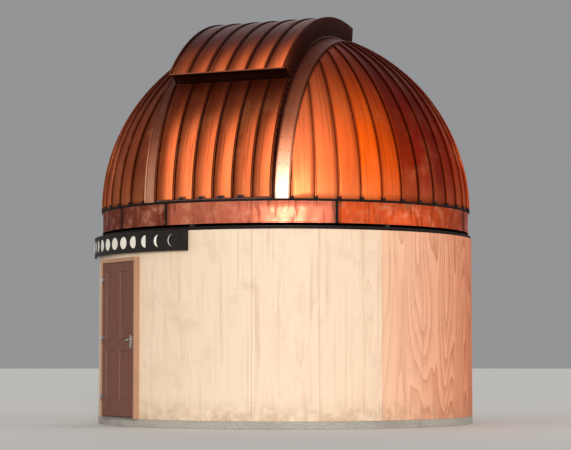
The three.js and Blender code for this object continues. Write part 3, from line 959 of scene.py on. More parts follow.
class Finishes:
    """Every material of the observatory."""

    def __init__(self) -> None:
        """Builds the materials once."""
        warm = (srgb(112, 54, 32), srgb(246, 118, 66), srgb(250, 94, 14), srgb(154, 20, 6))
        stops = (0.05, 0.38, 0.58, 0.9)
        self.gores = SheetMetal("coppery_gores", Flow.WALL, warm, stops).material()
        self.shutter = SheetMetal(
            "coppery_shutter", Flow.ARCH, warm, stops, streak_length=1.2, top_shade_low=1.55, top_shade_high=2.3,
            top_shade_share=0.88, crease_dirt_shade_share=0.94,
        ).material()
        # The lower shutter's finish is painted darker from lower down, as shade under the hood.
        self.sooty_shutter = SheetMetal(
            "sooty_shutter", Flow.ARCH, warm, stops, streak_length=1.2, top_shade_low=0.85, top_shade_high=1.6,
            top_shade_share=0.85, crease_dirt_shade_share=0.94,
        ).material()
        self.flashing = SheetMetal(
            "satin_flashing", Flow.ARCH, (srgb(158, 74, 50), srgb(255, 156, 110)), (0.2, 0.8),
            patch_and_highlight=srgb(255, 206, 172), patch_share=0.1, foot_highlight_share=0.8, foot_highlight_top=0.95, streak_share=0.3,
            crease_dirt_shade_share=0.85, roughness=0.4, top_shade_low=0.55, top_shade_share=0.85, metallic=0.36, gloss=0.4,
        ).material()
        self.skirt = SheetMetal(
            "mottled_skirt", Flow.WALL, (srgb(188, 102, 78), srgb(216, 82, 32)), (0.2, 0.8),
            patch_and_highlight=srgb(246, 170, 132), patch_size=0.14, patch_share=0.5, streak_width=0.06, streak_length=0.4,
            top_shade_share=0.0, foot_highlight_share=0.0, crease_dirt_shade_share=0.6, metallic=0.45, roughness=0.36,
        ).material()
        self.wall = PaintedWood(
            "cream_wall", srgb(230, 211, 182), srgb(172, 78, 30), srgb(158, 118, 84), arch=0.45, rings=16.0,
            splash=0.55, tint=srgb(240, 118, 50),
        ).material()
        self.door = PaintedWood(
            "brown_door", srgb(112, 64, 46), srgb(70, 36, 26), srgb(50, 30, 24), roughness=0.42,
        ).material()
        self.door_frame = PaintedWood(
            "tan_door_frame", srgb(186, 142, 110), srgb(140, 92, 64), srgb(88, 62, 48),
        ).material()
        # The head plate's near-black paint is painted shade for the gap under the skirt.
        self.plate = PaintedWood(
            "dark_head_plate", srgb(28, 19, 16), srgb(16, 11, 10), srgb(10, 7, 6), gloss=0.12,
        ).material()
        self.sign = PaintedWood(
            "dark_sign", srgb(30, 22, 19), srgb(16, 11, 10), srgb(70, 56, 48), arch=0.3, grime_share=0.2,
            gloss=0.25,
        ).material()
        self.relief = PaintedWood(
            "white_relief", srgb(240, 234, 222), srgb(206, 190, 166), srgb(132, 114, 96),
        ).material()
        self.zinc = BareMetal("dull_zinc", srgb(150, 148, 146), srgb(112, 112, 112)).material()
        self.handle = BareMetal(
            "brushed_handle", srgb(196, 194, 190), srgb(150, 148, 146), rust_share=0.0, roughness=0.28,
        ).material()
        self.sooty = BareMetal(
            "sooty_steel", srgb(66, 58, 54), srgb(40, 34, 32), metallic=0.6, roughness=0.5,
        ).material()
        self.primer = BareMetal(
            "primed_steel", srgb(120, 78, 64), srgb(88, 56, 46), metallic=0.3, roughness=0.5,
        ).material()
        self.threshold = BareMetal(
            "threshold_alloy", srgb(176, 174, 170), srgb(138, 136, 132), rust_share=0.05, roughness=0.4,
        ).material()
        self.gasket = Mineral(
            "dark_gasket", srgb(20, 13, 11), srgb(38, 25, 21), srgb(54, 28, 20),
            stain_share=0.25, gloss=0.15, roughness=0.7,
        ).material()
        self.concrete = Mineral(
            "worn_concrete", srgb(168, 162, 150), srgb(120, 114, 104), srgb(110, 100, 88),
        ).material()


class GeometryGraph(NodeGraph):
    """Geometry nodes of a tree that starts with a mesh and ends in one plain mesh."""

    def __init__(self, name: str, sizes: dict[str, float | int | tuple[float, float, float]]) -> None:
        """Starts the tree.

        Args:
            name: Name of the tree.
            sizes: First values of its named inputs.
        """
        super().__init__(bpy.data.node_groups.new(name, "GeometryNodeTree"))
        self.declare("INPUT", "Geometry", "Geometry")
        self.declare("INPUT", "Finish", "Material")
        kinds = {float: "Float", int: "Int", tuple: "Vector"}
        for label, value in sizes.items():
            self.declare("INPUT", label, kinds[type(value)], value)
        self.declare("OUTPUT", "Geometry", "Geometry")
        self.entry = self.entries()

    def facing(self) -> Value:
        """Direction that each point of the input faces."""
        return self.add("GeometryNodeInputNamedAttribute", {"Name": "facing"}, data_type="FLOAT_VECTOR")

    def cylinder(self, sides: int, radius: object, depth: object) -> Value:
        """Upright cylinder."""
        return self.add("GeometryNodeMeshCylinder", {"Vertices": sides, "Radius": radius, "Depth": depth})

    def moved(self, geometry: Value, place: object, turn: tuple[float, float, float] = (0, 0, 0)) -> Value:
        """Geometry turned and moved."""
        inputs = {"Geometry": geometry, "Translation": place, "Rotation": turn}
        return self.add("GeometryNodeTransform", inputs)

    def joined(self, *parts: Value) -> Value:
        """Joins several geometries.

        Args:
            parts: The geometries.

        Returns:
            All of them as one.
        """
        node = self.node("GeometryNodeJoinGeometry", {})
        for part in parts:
            self.feed(node.inputs[0], part)
        return Value(self, node.outputs[0])

    def upright(self) -> Value:
        """Turn about the vertical that brings Y to the direction that a point faces."""
        inputs = {"Vector": self.facing()}
        return self.add("FunctionNodeAlignRotationToVector", inputs, axis="Y", pivot_axis="Z")

    def on_points(self, instance: Value, turn: Value) -> Tree:
        """Puts a turned instance on every point and ends the tree."""
        inputs = {"Points": self.entry["Geometry"], "Instance": instance, "Rotation": turn}
        return self.close(self.add("GeometryNodeInstanceOnPoints", inputs))

    def close(self, geometry: Value) -> Tree:
        """Realizes the instances, sets the material and ends the tree.

        Args:
            geometry: What the tree has made.

        Returns:
            The tree.
        """
        inputs = {"Geometry": self.add("GeometryNodeRealizeInstances", {"Geometry": geometry})}
        inputs["Material"] = self.entry["Finish"]
        self.node("NodeGroupOutput", {0: self.add("GeometryNodeSetMaterial", inputs)})
        return self.tree


@cache
def fastener_tree() -> Tree:
    """Tree that puts a washer with a hexagon or round head on every point.

    Returns:
        The geometry tree.
    """
    sizes = {"Head Radius": 0.006, "Head Height": 0.004, "Washer Radius": 0.009, "Head Sides": 6, "Seed": 3}
    graph = GeometryGraph("fasteners", sizes)
    entry = graph.entry
    thin = entry["Head Height"] * 0.3
    washer = graph.cylinder(12, entry["Washer Radius"], thin)
    head = graph.add("GeometryNodeMeshCone", {
        "Vertices": entry["Head Sides"],
        "Radius Top": entry["Head Radius"] * 0.75,
        "Radius Bottom": entry["Head Radius"],
        "Depth": entry["Head Height"],
    })
    screw = graph.joined(washer, graph.moved(head, graph.vector(z=thin * 0.5)))
    spin = graph.add("FunctionNodeRandomValue", {3: 6.28, "Seed": entry["Seed"]}, 1, data_type="FLOAT")
    turn = graph.add("FunctionNodeAxisAngleToRotation", {"Axis": (0, 0, 1), "Angle": spin})
    stand = graph.add("FunctionNodeAlignRotationToVector", {"Vector": graph.facing()}, axis="Z")
    pose = graph.add("FunctionNodeRotateRotation", {0: stand, 1: turn}, rotation_space="LOCAL")
    return graph.on_points(screw, pose)


@cache
def seam_tree() -> Tree:
    """Tree that runs a folded standing seam along every line.

    Returns:
        The geometry tree.
    """
    sizes = {"Seam Width": 0.013, "Seam Height": 0.027, "Fold Width": 0.019, "Fold Height": 0.012}
    graph = GeometryGraph("standing_seams", sizes)
    entry = graph.entry
    line = graph.add("GeometryNodeMeshToCurve", {0: entry["Geometry"]})
    aimed = graph.add("GeometryNodeSetCurveNormal", {"Curve": line, "Normal": graph.facing()}, mode="FREE")

    def strip(width: Value, low: object, high: Value) -> Value:
        """Strip with rounded edges over the line.

        Args:
            width: Its width.
            low: Height of its foot.
            high: Height of its top.

        Returns:
            Its mesh.
        """
        inputs = {"Width": high - low, "Height": width}
        flat = graph.add("GeometryNodeCurvePrimitiveQuadrilateral", inputs)
        placed = graph.moved(flat, graph.vector(x=(high + low) * 0.5))
        inputs = {"Curve": placed, "Count": 2, "Radius": width * 0.22}
        soft = graph.add("GeometryNodeFilletCurve", inputs, mode="POLY")
        inputs = {"Curve": aimed, "Profile Curve": soft, "Fill Caps": True}
        return graph.add("GeometryNodeCurveToMesh", inputs)

    neck = entry["Seam Height"] - entry["Fold Height"]
    web = strip(entry["Seam Width"], -0.004, neck)
    return graph.close(graph.joined(web, strip(entry["Fold Width"], neck, entry["Seam Height"])))


@cache
def seam_foot_tree() -> Tree:
    """Tree that closes the foot of every seam with a small folded cap.

    Returns:
        The geometry tree.
    """
    graph = GeometryGraph("seam_feet", {"Cap Size": (0.056, 0.034, 0.064)})
    cube = graph.add("GeometryNodeMeshCube", {"Size": graph.entry["Cap Size"]})
    soft = graph.add("GeometryNodeSubdivisionSurface", {"Mesh": cube, "Level": 2, "Edge Crease": 0.75})
    return graph.on_points(soft, graph.upright())


@cache
def roller_tree() -> Tree:
    """Tree that sets a roller between two cheeks on every point.

    Returns:
        The geometry tree.
    """
    sizes = {"Wheel Radius": 0.048, "Wheel Width": 0.034, "Cheek Height": 0.078, "Cheek Width": 0.05}
    graph = GeometryGraph("rollers", sizes)
    entry = graph.entry
    wide = entry["Wheel Width"]
    wheel = graph.cylinder(40, entry["Wheel Radius"], wide)
    hub = graph.cylinder(24, 0.012, wide + 0.03)
    nut = graph.cylinder(6, 0.017, wide + 0.026)
    turned = graph.moved(graph.joined(wheel, hub, nut), (0, 0, 0), (pi / 2, 0, 0))
    size = graph.vector(entry["Cheek Width"], 0.007, entry["Cheek Height"])
    cheek = graph.add("GeometryNodeMeshCube", {"Size": size})
    aside = wide * 0.5 + 0.0055
    down = entry["Cheek Height"] * -0.32
    cheeks = [graph.moved(cheek, graph.vector(0.0, aside * sign, down)) for sign in (1.0, -1.0)]
    return graph.on_points(graph.joined(turned, *cheeks), graph.upright())


def grow(
    name: str,
    tree: Tree,
    lines: Sequence[Sequence[Spot]],
    material: Material,
    body: str,
    slot: str,
    bevel: float = 0.0,
    skin_at: Callable[[Vector], Skin] = lambda point: NEUTRAL,
    **sizes: float,
) -> None:
    """Runs a geometry tree over points or lines, and keeps its result as a piece with a plain mesh.

    Args:
        name: Name of the piece.
        tree: The geometry tree.
        lines: Lines of points, each with the direction that it faces. A line of one is a point.
        material: Material of the result.
        body: Body that the piece rides on.
        slot: Material slot of the record.
        bevel: Width of its rounded edges.
        skin_at: Skin of a point of the result.
        sizes: Values of the tree's named inputs, _ standing for a space.
    """
    mesh = bpy.data.meshes.new(name)
    spots = [spot for line in lines for spot in line]
    edges = []
    first = 0
    for line in lines:
        edges.extend((first + i, first + i + 1) for i in range(len(line) - 1))
        first += len(line)
    mesh.from_pydata([tuple(point) for point, _ in spots], edges, [])
    mesh.transform(SITE.place(body))
    turn = SITE.place(body).to_3x3()
    facing = mesh.attributes.new("facing", "FLOAT_VECTOR", "POINT")
    facing.data.foreach_set("vector", [value for _, aim in spots for value in turn @ aim.normalized()])
    piece = linked(name, mesh)
    modifier = piece.modifiers.new("grow", "NODES")
    modifier.node_group = tree
    wanted = {"Finish": material} | {label.replace("_", " "): value for label, value in sizes.items()}
    for item in tree.interface.items_tree:
        if item.in_out == "INPUT" and item.name in wanted:
            modifier[item.identifier] = wanted[item.name]
    depsgraph = bpy.context.evaluated_depsgraph_get()
    result = bpy.data.meshes.new_from_object(piece.evaluated_get(depsgraph), depsgraph=depsgraph)
    piece.modifiers.clear()
    piece.data = result
    bpy.data.meshes.remove(mesh)
    result.name = name
    paint(result, [skin_at(vertex.co) for vertex in result.vertices])
    dress(piece, material, body, slot, bevel=bevel)


def ring_spot(bearing: float, radius: float, height: float) -> list[Spot]:
    """Line of one point at a bearing, a radius and a height, that faces outwards."""
    return [(ring_point(bearing, radius, height), heading(bearing))]


def mirrored(half: Outline) -> Outline:
    """Whole outline from its right half, given from the inside round to the top."""
    return [(-x, z) for x, z in reversed(half)] + list(half)


def rounded_plate(half_width: float, half_height: float, radius: float) -> Outline:
    """Outline of a plate with round corners.

    Args:
        half_width: Half its width.
        half_height: Half its height.
        radius: Radius of its corners.

    Returns:
        Points across and up from its middle.
    """
    x, z = half_width - radius, half_height - radius
    points = []
    for turn, (sx, sz) in enumerate(((1, 1), (-1, 1), (-1, -1), (1, -1))):
        for a in map(radians, steps(turn * 90, turn * 90 + 90, 15)):
            points.append((sx * x + radius * cos(a), sz * z + radius * sin(a)))
    return points


@dataclass
class Building:
    """Floor slab, curved wall of sheets and the plate on its head."""

    looks: Finishes
    thickness: float = 0.15
    panel_joints: tuple[float, ...] = (11, 49, 87, 139.4, 191.8, 244.2, 296.6, 349)
    # Warmth of each wall panel at its two ends; its rise towards the right limb is partly painted warm light.
    panel_warmth: tuple[Pair, ...] = (
        (0.15, 0.15), (0.2, 0.3), (0.8, 2.0), (1.8, 0.3), (0.3, 0.45), (0.45, 0.25), (0.25, 0.15),
    )
    doorway_half: float = 0.4953
    doorway_top: float = 2.19
    groove_half: float = 0.004
    groove_depth: float = 0.006
    plate_height: float = 0.04
    plate_setback: float = 0.012
    nail_spacing: float = 0.2
    nail_inset: float = 0.018

    @property
    def inner(self) -> float:
        """Radius of the wall's inner face."""
        return SITE.wall_radius - self.thickness

    def build(self) -> None:
        """Builds and dresses every piece of the building."""
        draft = Draft()
        draft.upright(self.arc(0, 360, SITE.wall_radius)[:-1], (0, SITE.slab_top))
        draft.make("floor_slab_cast", self.looks.concrete, "building", "slab", "floor_slab", bevel=0.006)
        self.wall()
        self.over_door()
        draft = Draft()
        low, high = self.inner + self.plate_setback, SITE.wall_radius - self.plate_setback
        draft.ring(rectangle(low, high, SITE.wall_top + SITE.touch, SITE.wall_top + self.plate_height))
        plate = self.looks.plate
        draft.make("head_plate_ring", plate, "building", "head_plate", "wall_head_plate", bevel=0.003)
        self.nails()

    def arc(self, start: float, end: float, radius: float) -> list[Pair]:
        """Bearing and radius of the points of an arc in plan."""
        return [(bearing, radius) for bearing in steps(start, end, SITE.fine_step)]

    def doorway_bearing(self, radius: float) -> float:
        """Bearing at which an arc of that radius meets the doorway's side."""
        return degrees(asin(self.doorway_half / radius))

    def joint(self, bearing: float, radius: float) -> float:
        """Bearing of a joint at a radius. The first and last one follow the doorway's straight sides."""
        door = self.doorway_bearing(radius)
        return {self.panel_joints[0]: door, self.panel_joints[-1]: 360 - door}.get(bearing, bearing)

    def wall_outline(self, start: float, end: float) -> Outline:
        """Outline in plan of a wall panel of two sheets, with grooves at the sheets' edges.

        Args:
            start: Joint at its one end.
            end: Joint at its other end.

        Returns:
            Bearings and radii.
        """
        outer = SITE.wall_radius
        half = degrees(self.groove_half / outer)
        deep = outer - self.groove_depth
        middle = (start + end) / 2
        from_door = start == self.panel_joints[0]
        to_door = end == self.panel_joints[-1]
        points = [] if from_door else [(start, deep)]
        points += self.arc(self.joint(start, outer) + (0 if from_door else half), middle - half, outer)
        points.append((middle, deep))
        points += self.arc(middle + half, self.joint(end, outer) - (0 if to_door else half), outer)
        points += [] if to_door else [(end, deep)]
        return points + self.arc(self.joint(end, self.inner), self.joint(start, self.inner), self.inner)

    def wall(self) -> None:
        """Makes the wall panels."""
        ends = zip(pairs(self.panel_joints), self.panel_warmth)
        for i, ((start, end), (first, last)) in enumerate(ends, 1):
            outline = self.wall_outline(start, end)
            skins = [Skin(warmth=lerp(first, last, (b - start) / (end - start))) for b, _ in outline]
            draft = Draft()
            draft.upright(outline, (SITE.slab_top + SITE.touch, SITE.wall_top), skins)
            node = f"wall_panel_{i}"
            draft.make(f"wall_sheets_{i}", self.looks.wall, "building", "wall", node, bevel=0.0012)

    def over_door(self) -> None:
        """Makes the piece of wall over the door."""
        outer, inner = [self.doorway_bearing(radius) - 0.01 for radius in (SITE.wall_radius, self.inner)]
        outline = self.arc(-outer, outer, SITE.wall_radius) + self.arc(inner, -inner, self.inner)
        draft = Draft()
        draft.upright(outline, (self.doorway_top + SITE.touch, SITE.wall_top), Skin(warmth=0.2))
        wall = self.looks.wall
        draft.make("wall_sheet_over_door", wall, "building", "wall", "wall_over_door", bevel=0.0012)

    def nails(self) -> None:
        """Sets painted nail heads along the edges and studs of the wall's sheets."""
        spots = []
        radius = SITE.wall_radius
        edge = degrees(self.nail_inset / radius)
        heights = steps(SITE.slab_top + 0.03, SITE.wall_top - 0.03, self.nail_spacing)
        for start, end in pairs(self.panel_joints):
            for left, right in pairs((self.joint(start, radius), (start + end) / 2, self.joint(end, radius))):
                columns = (left + edge, (2 * left + right) / 3, (left + 2 * right) / 3, right - edge)
                spots += [ring_spot(bearing, radius, z) for bearing, z in product(columns, heights)]
        sizes = {"Head_Radius": 0.004, "Head_Height": 0.0016, "Washer_Radius": 0.0045, "Head_Sides": 10}
        grow("wall_nails", fastener_tree(), spots, self.looks.wall, "building", "wall", **sizes)


@dataclass
class Doorway:
    """Door frame, threshold, panelled leaf, hinges and lever handles."""

    looks: Finishes
    outer_half: float = 0.4947
    jamb: float = 0.037
    rebate: float = 0.015
    head_top: float = 2.19
    head_height: float = 0.05
    front: float = -2.585
    back: float = -2.4
    rebate_back: float = -2.53
    threshold_height: float = 0.018
    ridges: int = 11
    ridge_height: float = 0.0035
    ridge_margin: float = 0.012
    nosing: float = 0.009
    leaf_thickness: float = 0.045
    leaf_setback: float = 0.005
    clearance: float = 0.005
    stile: float = 0.115
    rails: tuple[float, ...] = (0.22, 0.86, 1.0)
    panel_steps: tuple[Pair, ...] = ((0.012, -0.011), (0.006, 0.0), (0.03, 0.007))
    pivot: Pair = (-0.455, -2.596)
    hinge_heights: tuple[float, ...] = (0.32, 1.08, 1.85)
    hinge_face: float = 0.0055
    hinge_gap: float = 0.001
    knuckle: float = 0.045
    knuckle_radius: float = 0.009
    pin_radius: float = 0.005
    handle_height: float = 1.12
    handle_inset: float = 0.065
    lever_out: float = 0.0448
    rose: tuple[Pair, ...] = ((0.009, 0.017), (0.014, 0.016), (0.015, 0.011), (0.04, 0.01), (0.05, 0.01))
    lever: tuple[tuple[float, float, float, float], ...] = (
        (-0.004, 0.0, 0.0, 0.0088), (0.02, 0.0, 0.0, 0.0085), (0.05, 0.0, 0.001, 0.0078),
        (0.085, -0.002, 0.003, 0.0074), (0.115, -0.008, 0.005, 0.0068),
    )

    @property
    def clear(self) -> float:
        """Half width between the jambs at the leaf."""
        return self.outer_half - self.jamb

    @property
    def leaf_half(self) -> float:
        """Half width of the leaf."""
        return self.clear - self.clearance

    @property
    def leaf_faces(self) -> Pair:
        """Outer and inner face of the leaf."""
        return self.front + self.leaf_setback, self.front + self.leaf_setback + self.leaf_thickness

    def build(self) -> None:
        """Builds and dresses every piece of the doorway."""
        self.frame()
        radius, top = self.pin_radius, 2 * self.knuckle - self.pin_radius
        pin = [(radius, radius), (top - 0.002, radius), (top, radius * 0.6)]
        plate = (-self.outer_half + 0.004, self.pivot[0])
        self.hinge_halves("door_hinge_halves_fixed", "building", 0.0, plate, self.front, pin)
        self.threshold()
        self.leaf()
        plate = (self.pivot[0], self.pivot[0] + 0.04)
        lift = self.knuckle + self.hinge_gap
        self.hinge_halves("door_hinge_halves_moving", "door", lift, plate, self.leaf_faces[0])
        self.handles()
        self.screws()

    def frame(self) -> None:
        """Makes the frame with its rebate."""
        draft = Draft()
        low = SITE.slab_top + SITE.touch
        over = low + self.threshold_height
        top = self.head_top - self.head_height
        inner = self.clear - self.rebate
        outside = [(self.clear, low), (self.outer_half, low), (self.outer_half, self.head_top)]
        draft.prism(mirrored([(self.clear, top), *outside]), 1, (self.front, self.rebate_back))
        behind = mirrored([(inner, top - self.rebate), (inner, over), (self.clear, over), *outside])
        draft.prism(behind, 1, (self.rebate_back, self.back))
        draft.make("door_casing", self.looks.door_frame, "building", "door_frame", "door_frame", bevel=0.0025)

    def hinge_halves(
        self, name: str, body: str, lift: float, plate: Pair, seat: float, pin: Outline = (),
    ) -> None:
        """Makes the hinge halves of one body.

        Args:
            name: Name of the piece.
            body: Body that it rides on.
            lift: Height of its knuckles over the hinges' heights.
            plate: Sides of its flat plates.
            seat: Face that the plates lie on.
            pin: Distances and radii of the pins, where they belong to these halves.
        """
        edge, radius, tall = 0.0012, self.knuckle_radius, self.knuckle
        knuckle = [(0, radius - edge), (edge, radius), (tall - edge, radius), (tall, radius - edge)]
        draft = Draft()
        for low in (height + lift for height in self.hinge_heights):
            draft.turned(Vector((*self.pivot, low)), Z_AXIS, knuckle)
            if pin:
                draft.turned(Vector((*self.pivot, low)), Z_AXIS, pin, 16)
            draft.box(plate, (self.pivot[1] + self.hinge_face, seat - SITE.touch), (low, low + self.knuckle))
        draft.make(name, self.looks.zinc, body, "hardware", bevel=0.0008)

    def threshold(self) -> None:
        """Makes the threshold with ridges along it."""
        low = SITE.slab_top + SITE.touch
        top = SITE.slab_top + self.threshold_height
        width = (self.back - self.front - 2 * self.ridge_margin) / self.ridges
        outline = [(self.front, low), (self.front, top - self.nosing)]
        for i in range(self.ridges):
            start = self.front + self.ridge_margin + width * i
            for share, drop in ((0, self.ridge_height), (0.2, 0), (0.6, 0), (0.8, self.ridge_height)):
                outline.append((start + width * share, top - drop))
        outline += [(self.back, top - self.nosing), (self.back, low)]
        half = self.clear - SITE.touch
        draft = Draft()
        draft.prism(outline, 0, (-half, half))
        draft.make("threshold_ridged", self.looks.threshold, "building", "threshold", "door_threshold")

    def leaf(self) -> None:
        """Makes the leaf with raised panels on both faces."""
        low = SITE.slab_top + self.threshold_height + self.clearance + 0.001
        high = self.head_top - self.head_height - self.clearance - 0.001
        half, stile = self.leaf_half, self.stile
        xs = (-half, -half + stile, -stile / 2, stile / 2, half - stile, half)
        zs = (low, *(low + rise for rise in self.rails), high - stile, high)
        work = bmesh.new()
        corners = {
            (i, j, k): work.verts.new((xs[i], self.leaf_faces[k], zs[j]))
            for i, j, k in product(range(6), range(6), range(2))
        }

        def face(*keys: tuple[int, int, int]) -> bmesh.types.BMFace:
            """Face between corners of the grid."""
            return work.faces.new([corners[key] for key in keys])

        panels = []
        for k, i, j in product(range(2), range(5), range(5)):
            made = face((i, j, k), (i + 1, j, k), (i + 1, j + 1, k), (i, j + 1, k))
            if i in (1, 3) and j in (1, 3):
                panels.append(made)
        for i, end in product(range(5), (0, 5)):
            face((i, end, 0), (i + 1, end, 0), (i + 1, end, 1), (i, end, 1))
            face((end, i, 0), (end, i + 1, 0), (end, i + 1, 1), (end, i, 1))
        bmesh.ops.recalc_face_normals(work, faces=work.faces)
        for thickness, depth in self.panel_steps:
            bmesh.ops.inset_individual(work, faces=panels, thickness=thickness, depth=depth)
        mesh = bpy.data.meshes.new("door_leaf_panelled")
        work.to_mesh(mesh)
        work.free()
        leaf = linked("door_leaf_panelled", mesh)
        dress(leaf, self.looks.door, "door", "door", "door_leaf", bevel=0.0018)

    def handles(self) -> None:
        """Makes a lever handle with its plate on each face."""
        x, z = self.leaf_half - self.handle_inset, self.handle_height
        plate = [(x + a, z - 0.025 + b) for a, b in rounded_plate(0.021, 0.085, 0.018)]
        for side, face, out in zip(("outside", "inside"), self.leaf_faces, (-1, 1)):
            seat = face + out * SITE.touch
            axis = Y_AXIS * out
            draft = Draft()
            draft.prism(plate, 1, (seat, seat + out * 0.009))
            draft.turned(Vector((x, seat, z)), axis, self.rose, 28)
            path = [
                Vector((x - reach, seat + out * (self.lever_out + bend), z - drop))
                for reach, bend, drop, _ in self.lever
            ]
            draft.tube(path, [radius for *_, radius in self.lever], 20)
            draft.turned(Vector((x, seat, z - 0.07)), axis, [(0.009, 0.0095), (0.0125, 0.0088)], 28)
            node = f"door_handle_{side}"
            draft.make(f"lever_handle_{side}", self.looks.handle, "door", "hardware", node, bevel=0.0008)

    def screws(self) -> None:
        """Sets the screws of the hinges and handle plates."""
        y = self.pivot[1] + self.hinge_face
        out = -Y_AXIS
        heights = [height + z for height, z in product(self.hinge_heights, (0.011, 0.034))]
        fixed = [[(Vector((-self.outer_half + 0.016, y, z)), out)] for z in heights]
        lift = self.knuckle + self.hinge_gap
        moving = [[(Vector((self.pivot[0] + 0.027, y, z + lift)), out)] for z in heights]
        x = self.leaf_half - self.handle_inset
        for face, sign in zip(self.leaf_faces, (-1, 1)):
            for z in (0.05, -0.1):
                spot = Vector((x, face + sign * 0.0093, self.handle_height + z))
                moving.append([(spot, Y_AXIS * sign)])
        sizes = {"Head_Radius": 0.0035, "Head_Height": 0.0014, "Washer_Radius": 0.0042, "Head_Sides": 12}
        for name, spots, body in (("frame_screws", fixed, "building"), ("leaf_screws", moving, "door")):
            grow(name, fastener_tree(), spots, self.looks.handle, body, "hardware", **sizes)


@dataclass
class SignBoard:
    """Curved dark board over the door, with a border and a plain row of moon phases."""

    looks: Finishes
    half_angle: float = 30.3
    back: float = 2.5985
    front: float = 2.6265
    bottom: float = 2.245
    top: float = 2.51
    border: float = 0.022
    border_rise: float = 0.003
    batten_half: float = 0.03
    batten_bearings: tuple[float, ...] = (-20.77, 0.0, 20.77)
    phases: int = 11
    phase_spacing: float = 5.1
    phase_radius: float = 0.078
    phase_rise: float = 0.003
    bolt_inset: float = 0.045
    bolt_margin: float = 1.2

    def build(self) -> None:
        """Builds and dresses the sign."""
        self.board()
        self.moons()
        self.bolts()

    def board(self) -> None:
        """Makes the board, its raised border and its battens."""
        draft = Draft()
        half, low, high = self.half_angle, self.front - 0.001, self.front + self.border_rise
        edge = degrees(self.border / self.front)
        bottom, top = self.bottom + self.border, self.top - self.border
        for outline, start, end in (
            (rectangle(self.back, self.front, self.bottom, self.top), -half, half),
            (rectangle(low, high, self.bottom, bottom), -half, half),
            (rectangle(low, high, top, self.top), -half, half),
            (rectangle(low, high, bottom, top), -half, -half + edge),
            (rectangle(low, high, bottom, top), half - edge, half),
        ):
            draft.bent(outline, steps(start, end, SITE.fine_step))
        section = rectangle(-self.batten_half, self.batten_half, self.bottom + 0.02, SITE.wall_top - 0.02)
        for bearing in self.batten_bearings:
            draft.prism(section, 1, (-self.back - 0.001, -SITE.wall_radius - SITE.touch), bearing)
        draft.make("sign_board_framed", self.looks.sign, "building", "sign", "sign_board", bevel=0.002)

    def phase_outline(self, share: float, side: int) -> Outline:
        """Outline of the lit part of a moon.

        Args:
            share: Phase from 0, full, to 1, new.
            side: Side of the bright limb, 1 for right and -1 for left.

        Returns:
            Points across and up from its middle.
        """
        turns = [radians(turn) for turn in steps(-90, 90, 7.5)]
        limb = [(cos(a), sin(a)) for a in turns]
        shade = [(-cos(pi * share) * cos(a), sin(a)) for a in turns[-2:0:-1]]
        return [(side * x * self.phase_radius, y * self.phase_radius) for x, y in limb + shade]

    def moons(self) -> None:
        """Makes the moon phases."""
        draft = Draft()
        middle = self.phases // 2
        height = (self.bottom + self.top) / 2
        depths = (-self.front + 0.003, -self.front - self.phase_rise)
        for away in range(-middle, middle + 1):
            outline = self.phase_outline(abs(away) / (middle + 1), -1 if away > 0 else 1)
            raised = [(x, height + z) for x, z in outline]
            draft.prism(raised, 1, depths, away * self.phase_spacing)
        draft.make("sign_moon_phases", self.looks.relief, "building", "sign", bevel=0.0008)

    def bolts(self) -> None:
        """Sets bolts between the moons at the battens, and at both ends of the board."""
        end = self.half_angle - self.bolt_margin
        bearings = [*(bearing + self.phase_spacing / 2 for bearing in self.batten_bearings), -end, end]
        heights = (self.bottom + self.bolt_inset, self.top - self.bolt_inset)
        spots = [ring_spot(bearing, self.front - 0.0006, z) for bearing, z in product(bearings, heights)]
        tree, sooty = fastener_tree(), self.looks.sooty
        grow("sign_bolts", tree, spots, sooty, "building", "sign", Head_Height=0.0025)


@dataclass
class RollerRing:
    """Ring of rollers on the wall head that carries the dome."""

    looks: Finishes
    count: int = 6
    track: float = 2.476
    half_width: float = 0.031
    plate: float = 0.006
    base: float = 2.5405
    axle_height: float = 2.602

    def build(self) -> None:
        """Builds and dresses the ring."""
        sooty = self.looks.sooty
        draft = Draft()
        low, high = self.track - self.half_width, self.track + self.half_width
        draft.ring(rectangle(low, high, self.base, self.base + self.plate))
        draft.make("roller_track", sooty, "building", "track_steel", "roller_ring", bevel=0.001)
        bearings = [(i + 0.5) * 360 / self.count for i in range(self.count)]
        spots = [ring_spot(bearing, self.track, self.axle_height) for bearing in bearings]
        grow("roller_wheels", roller_tree(), spots, sooty, "building", "track_steel", bevel=0.0015)


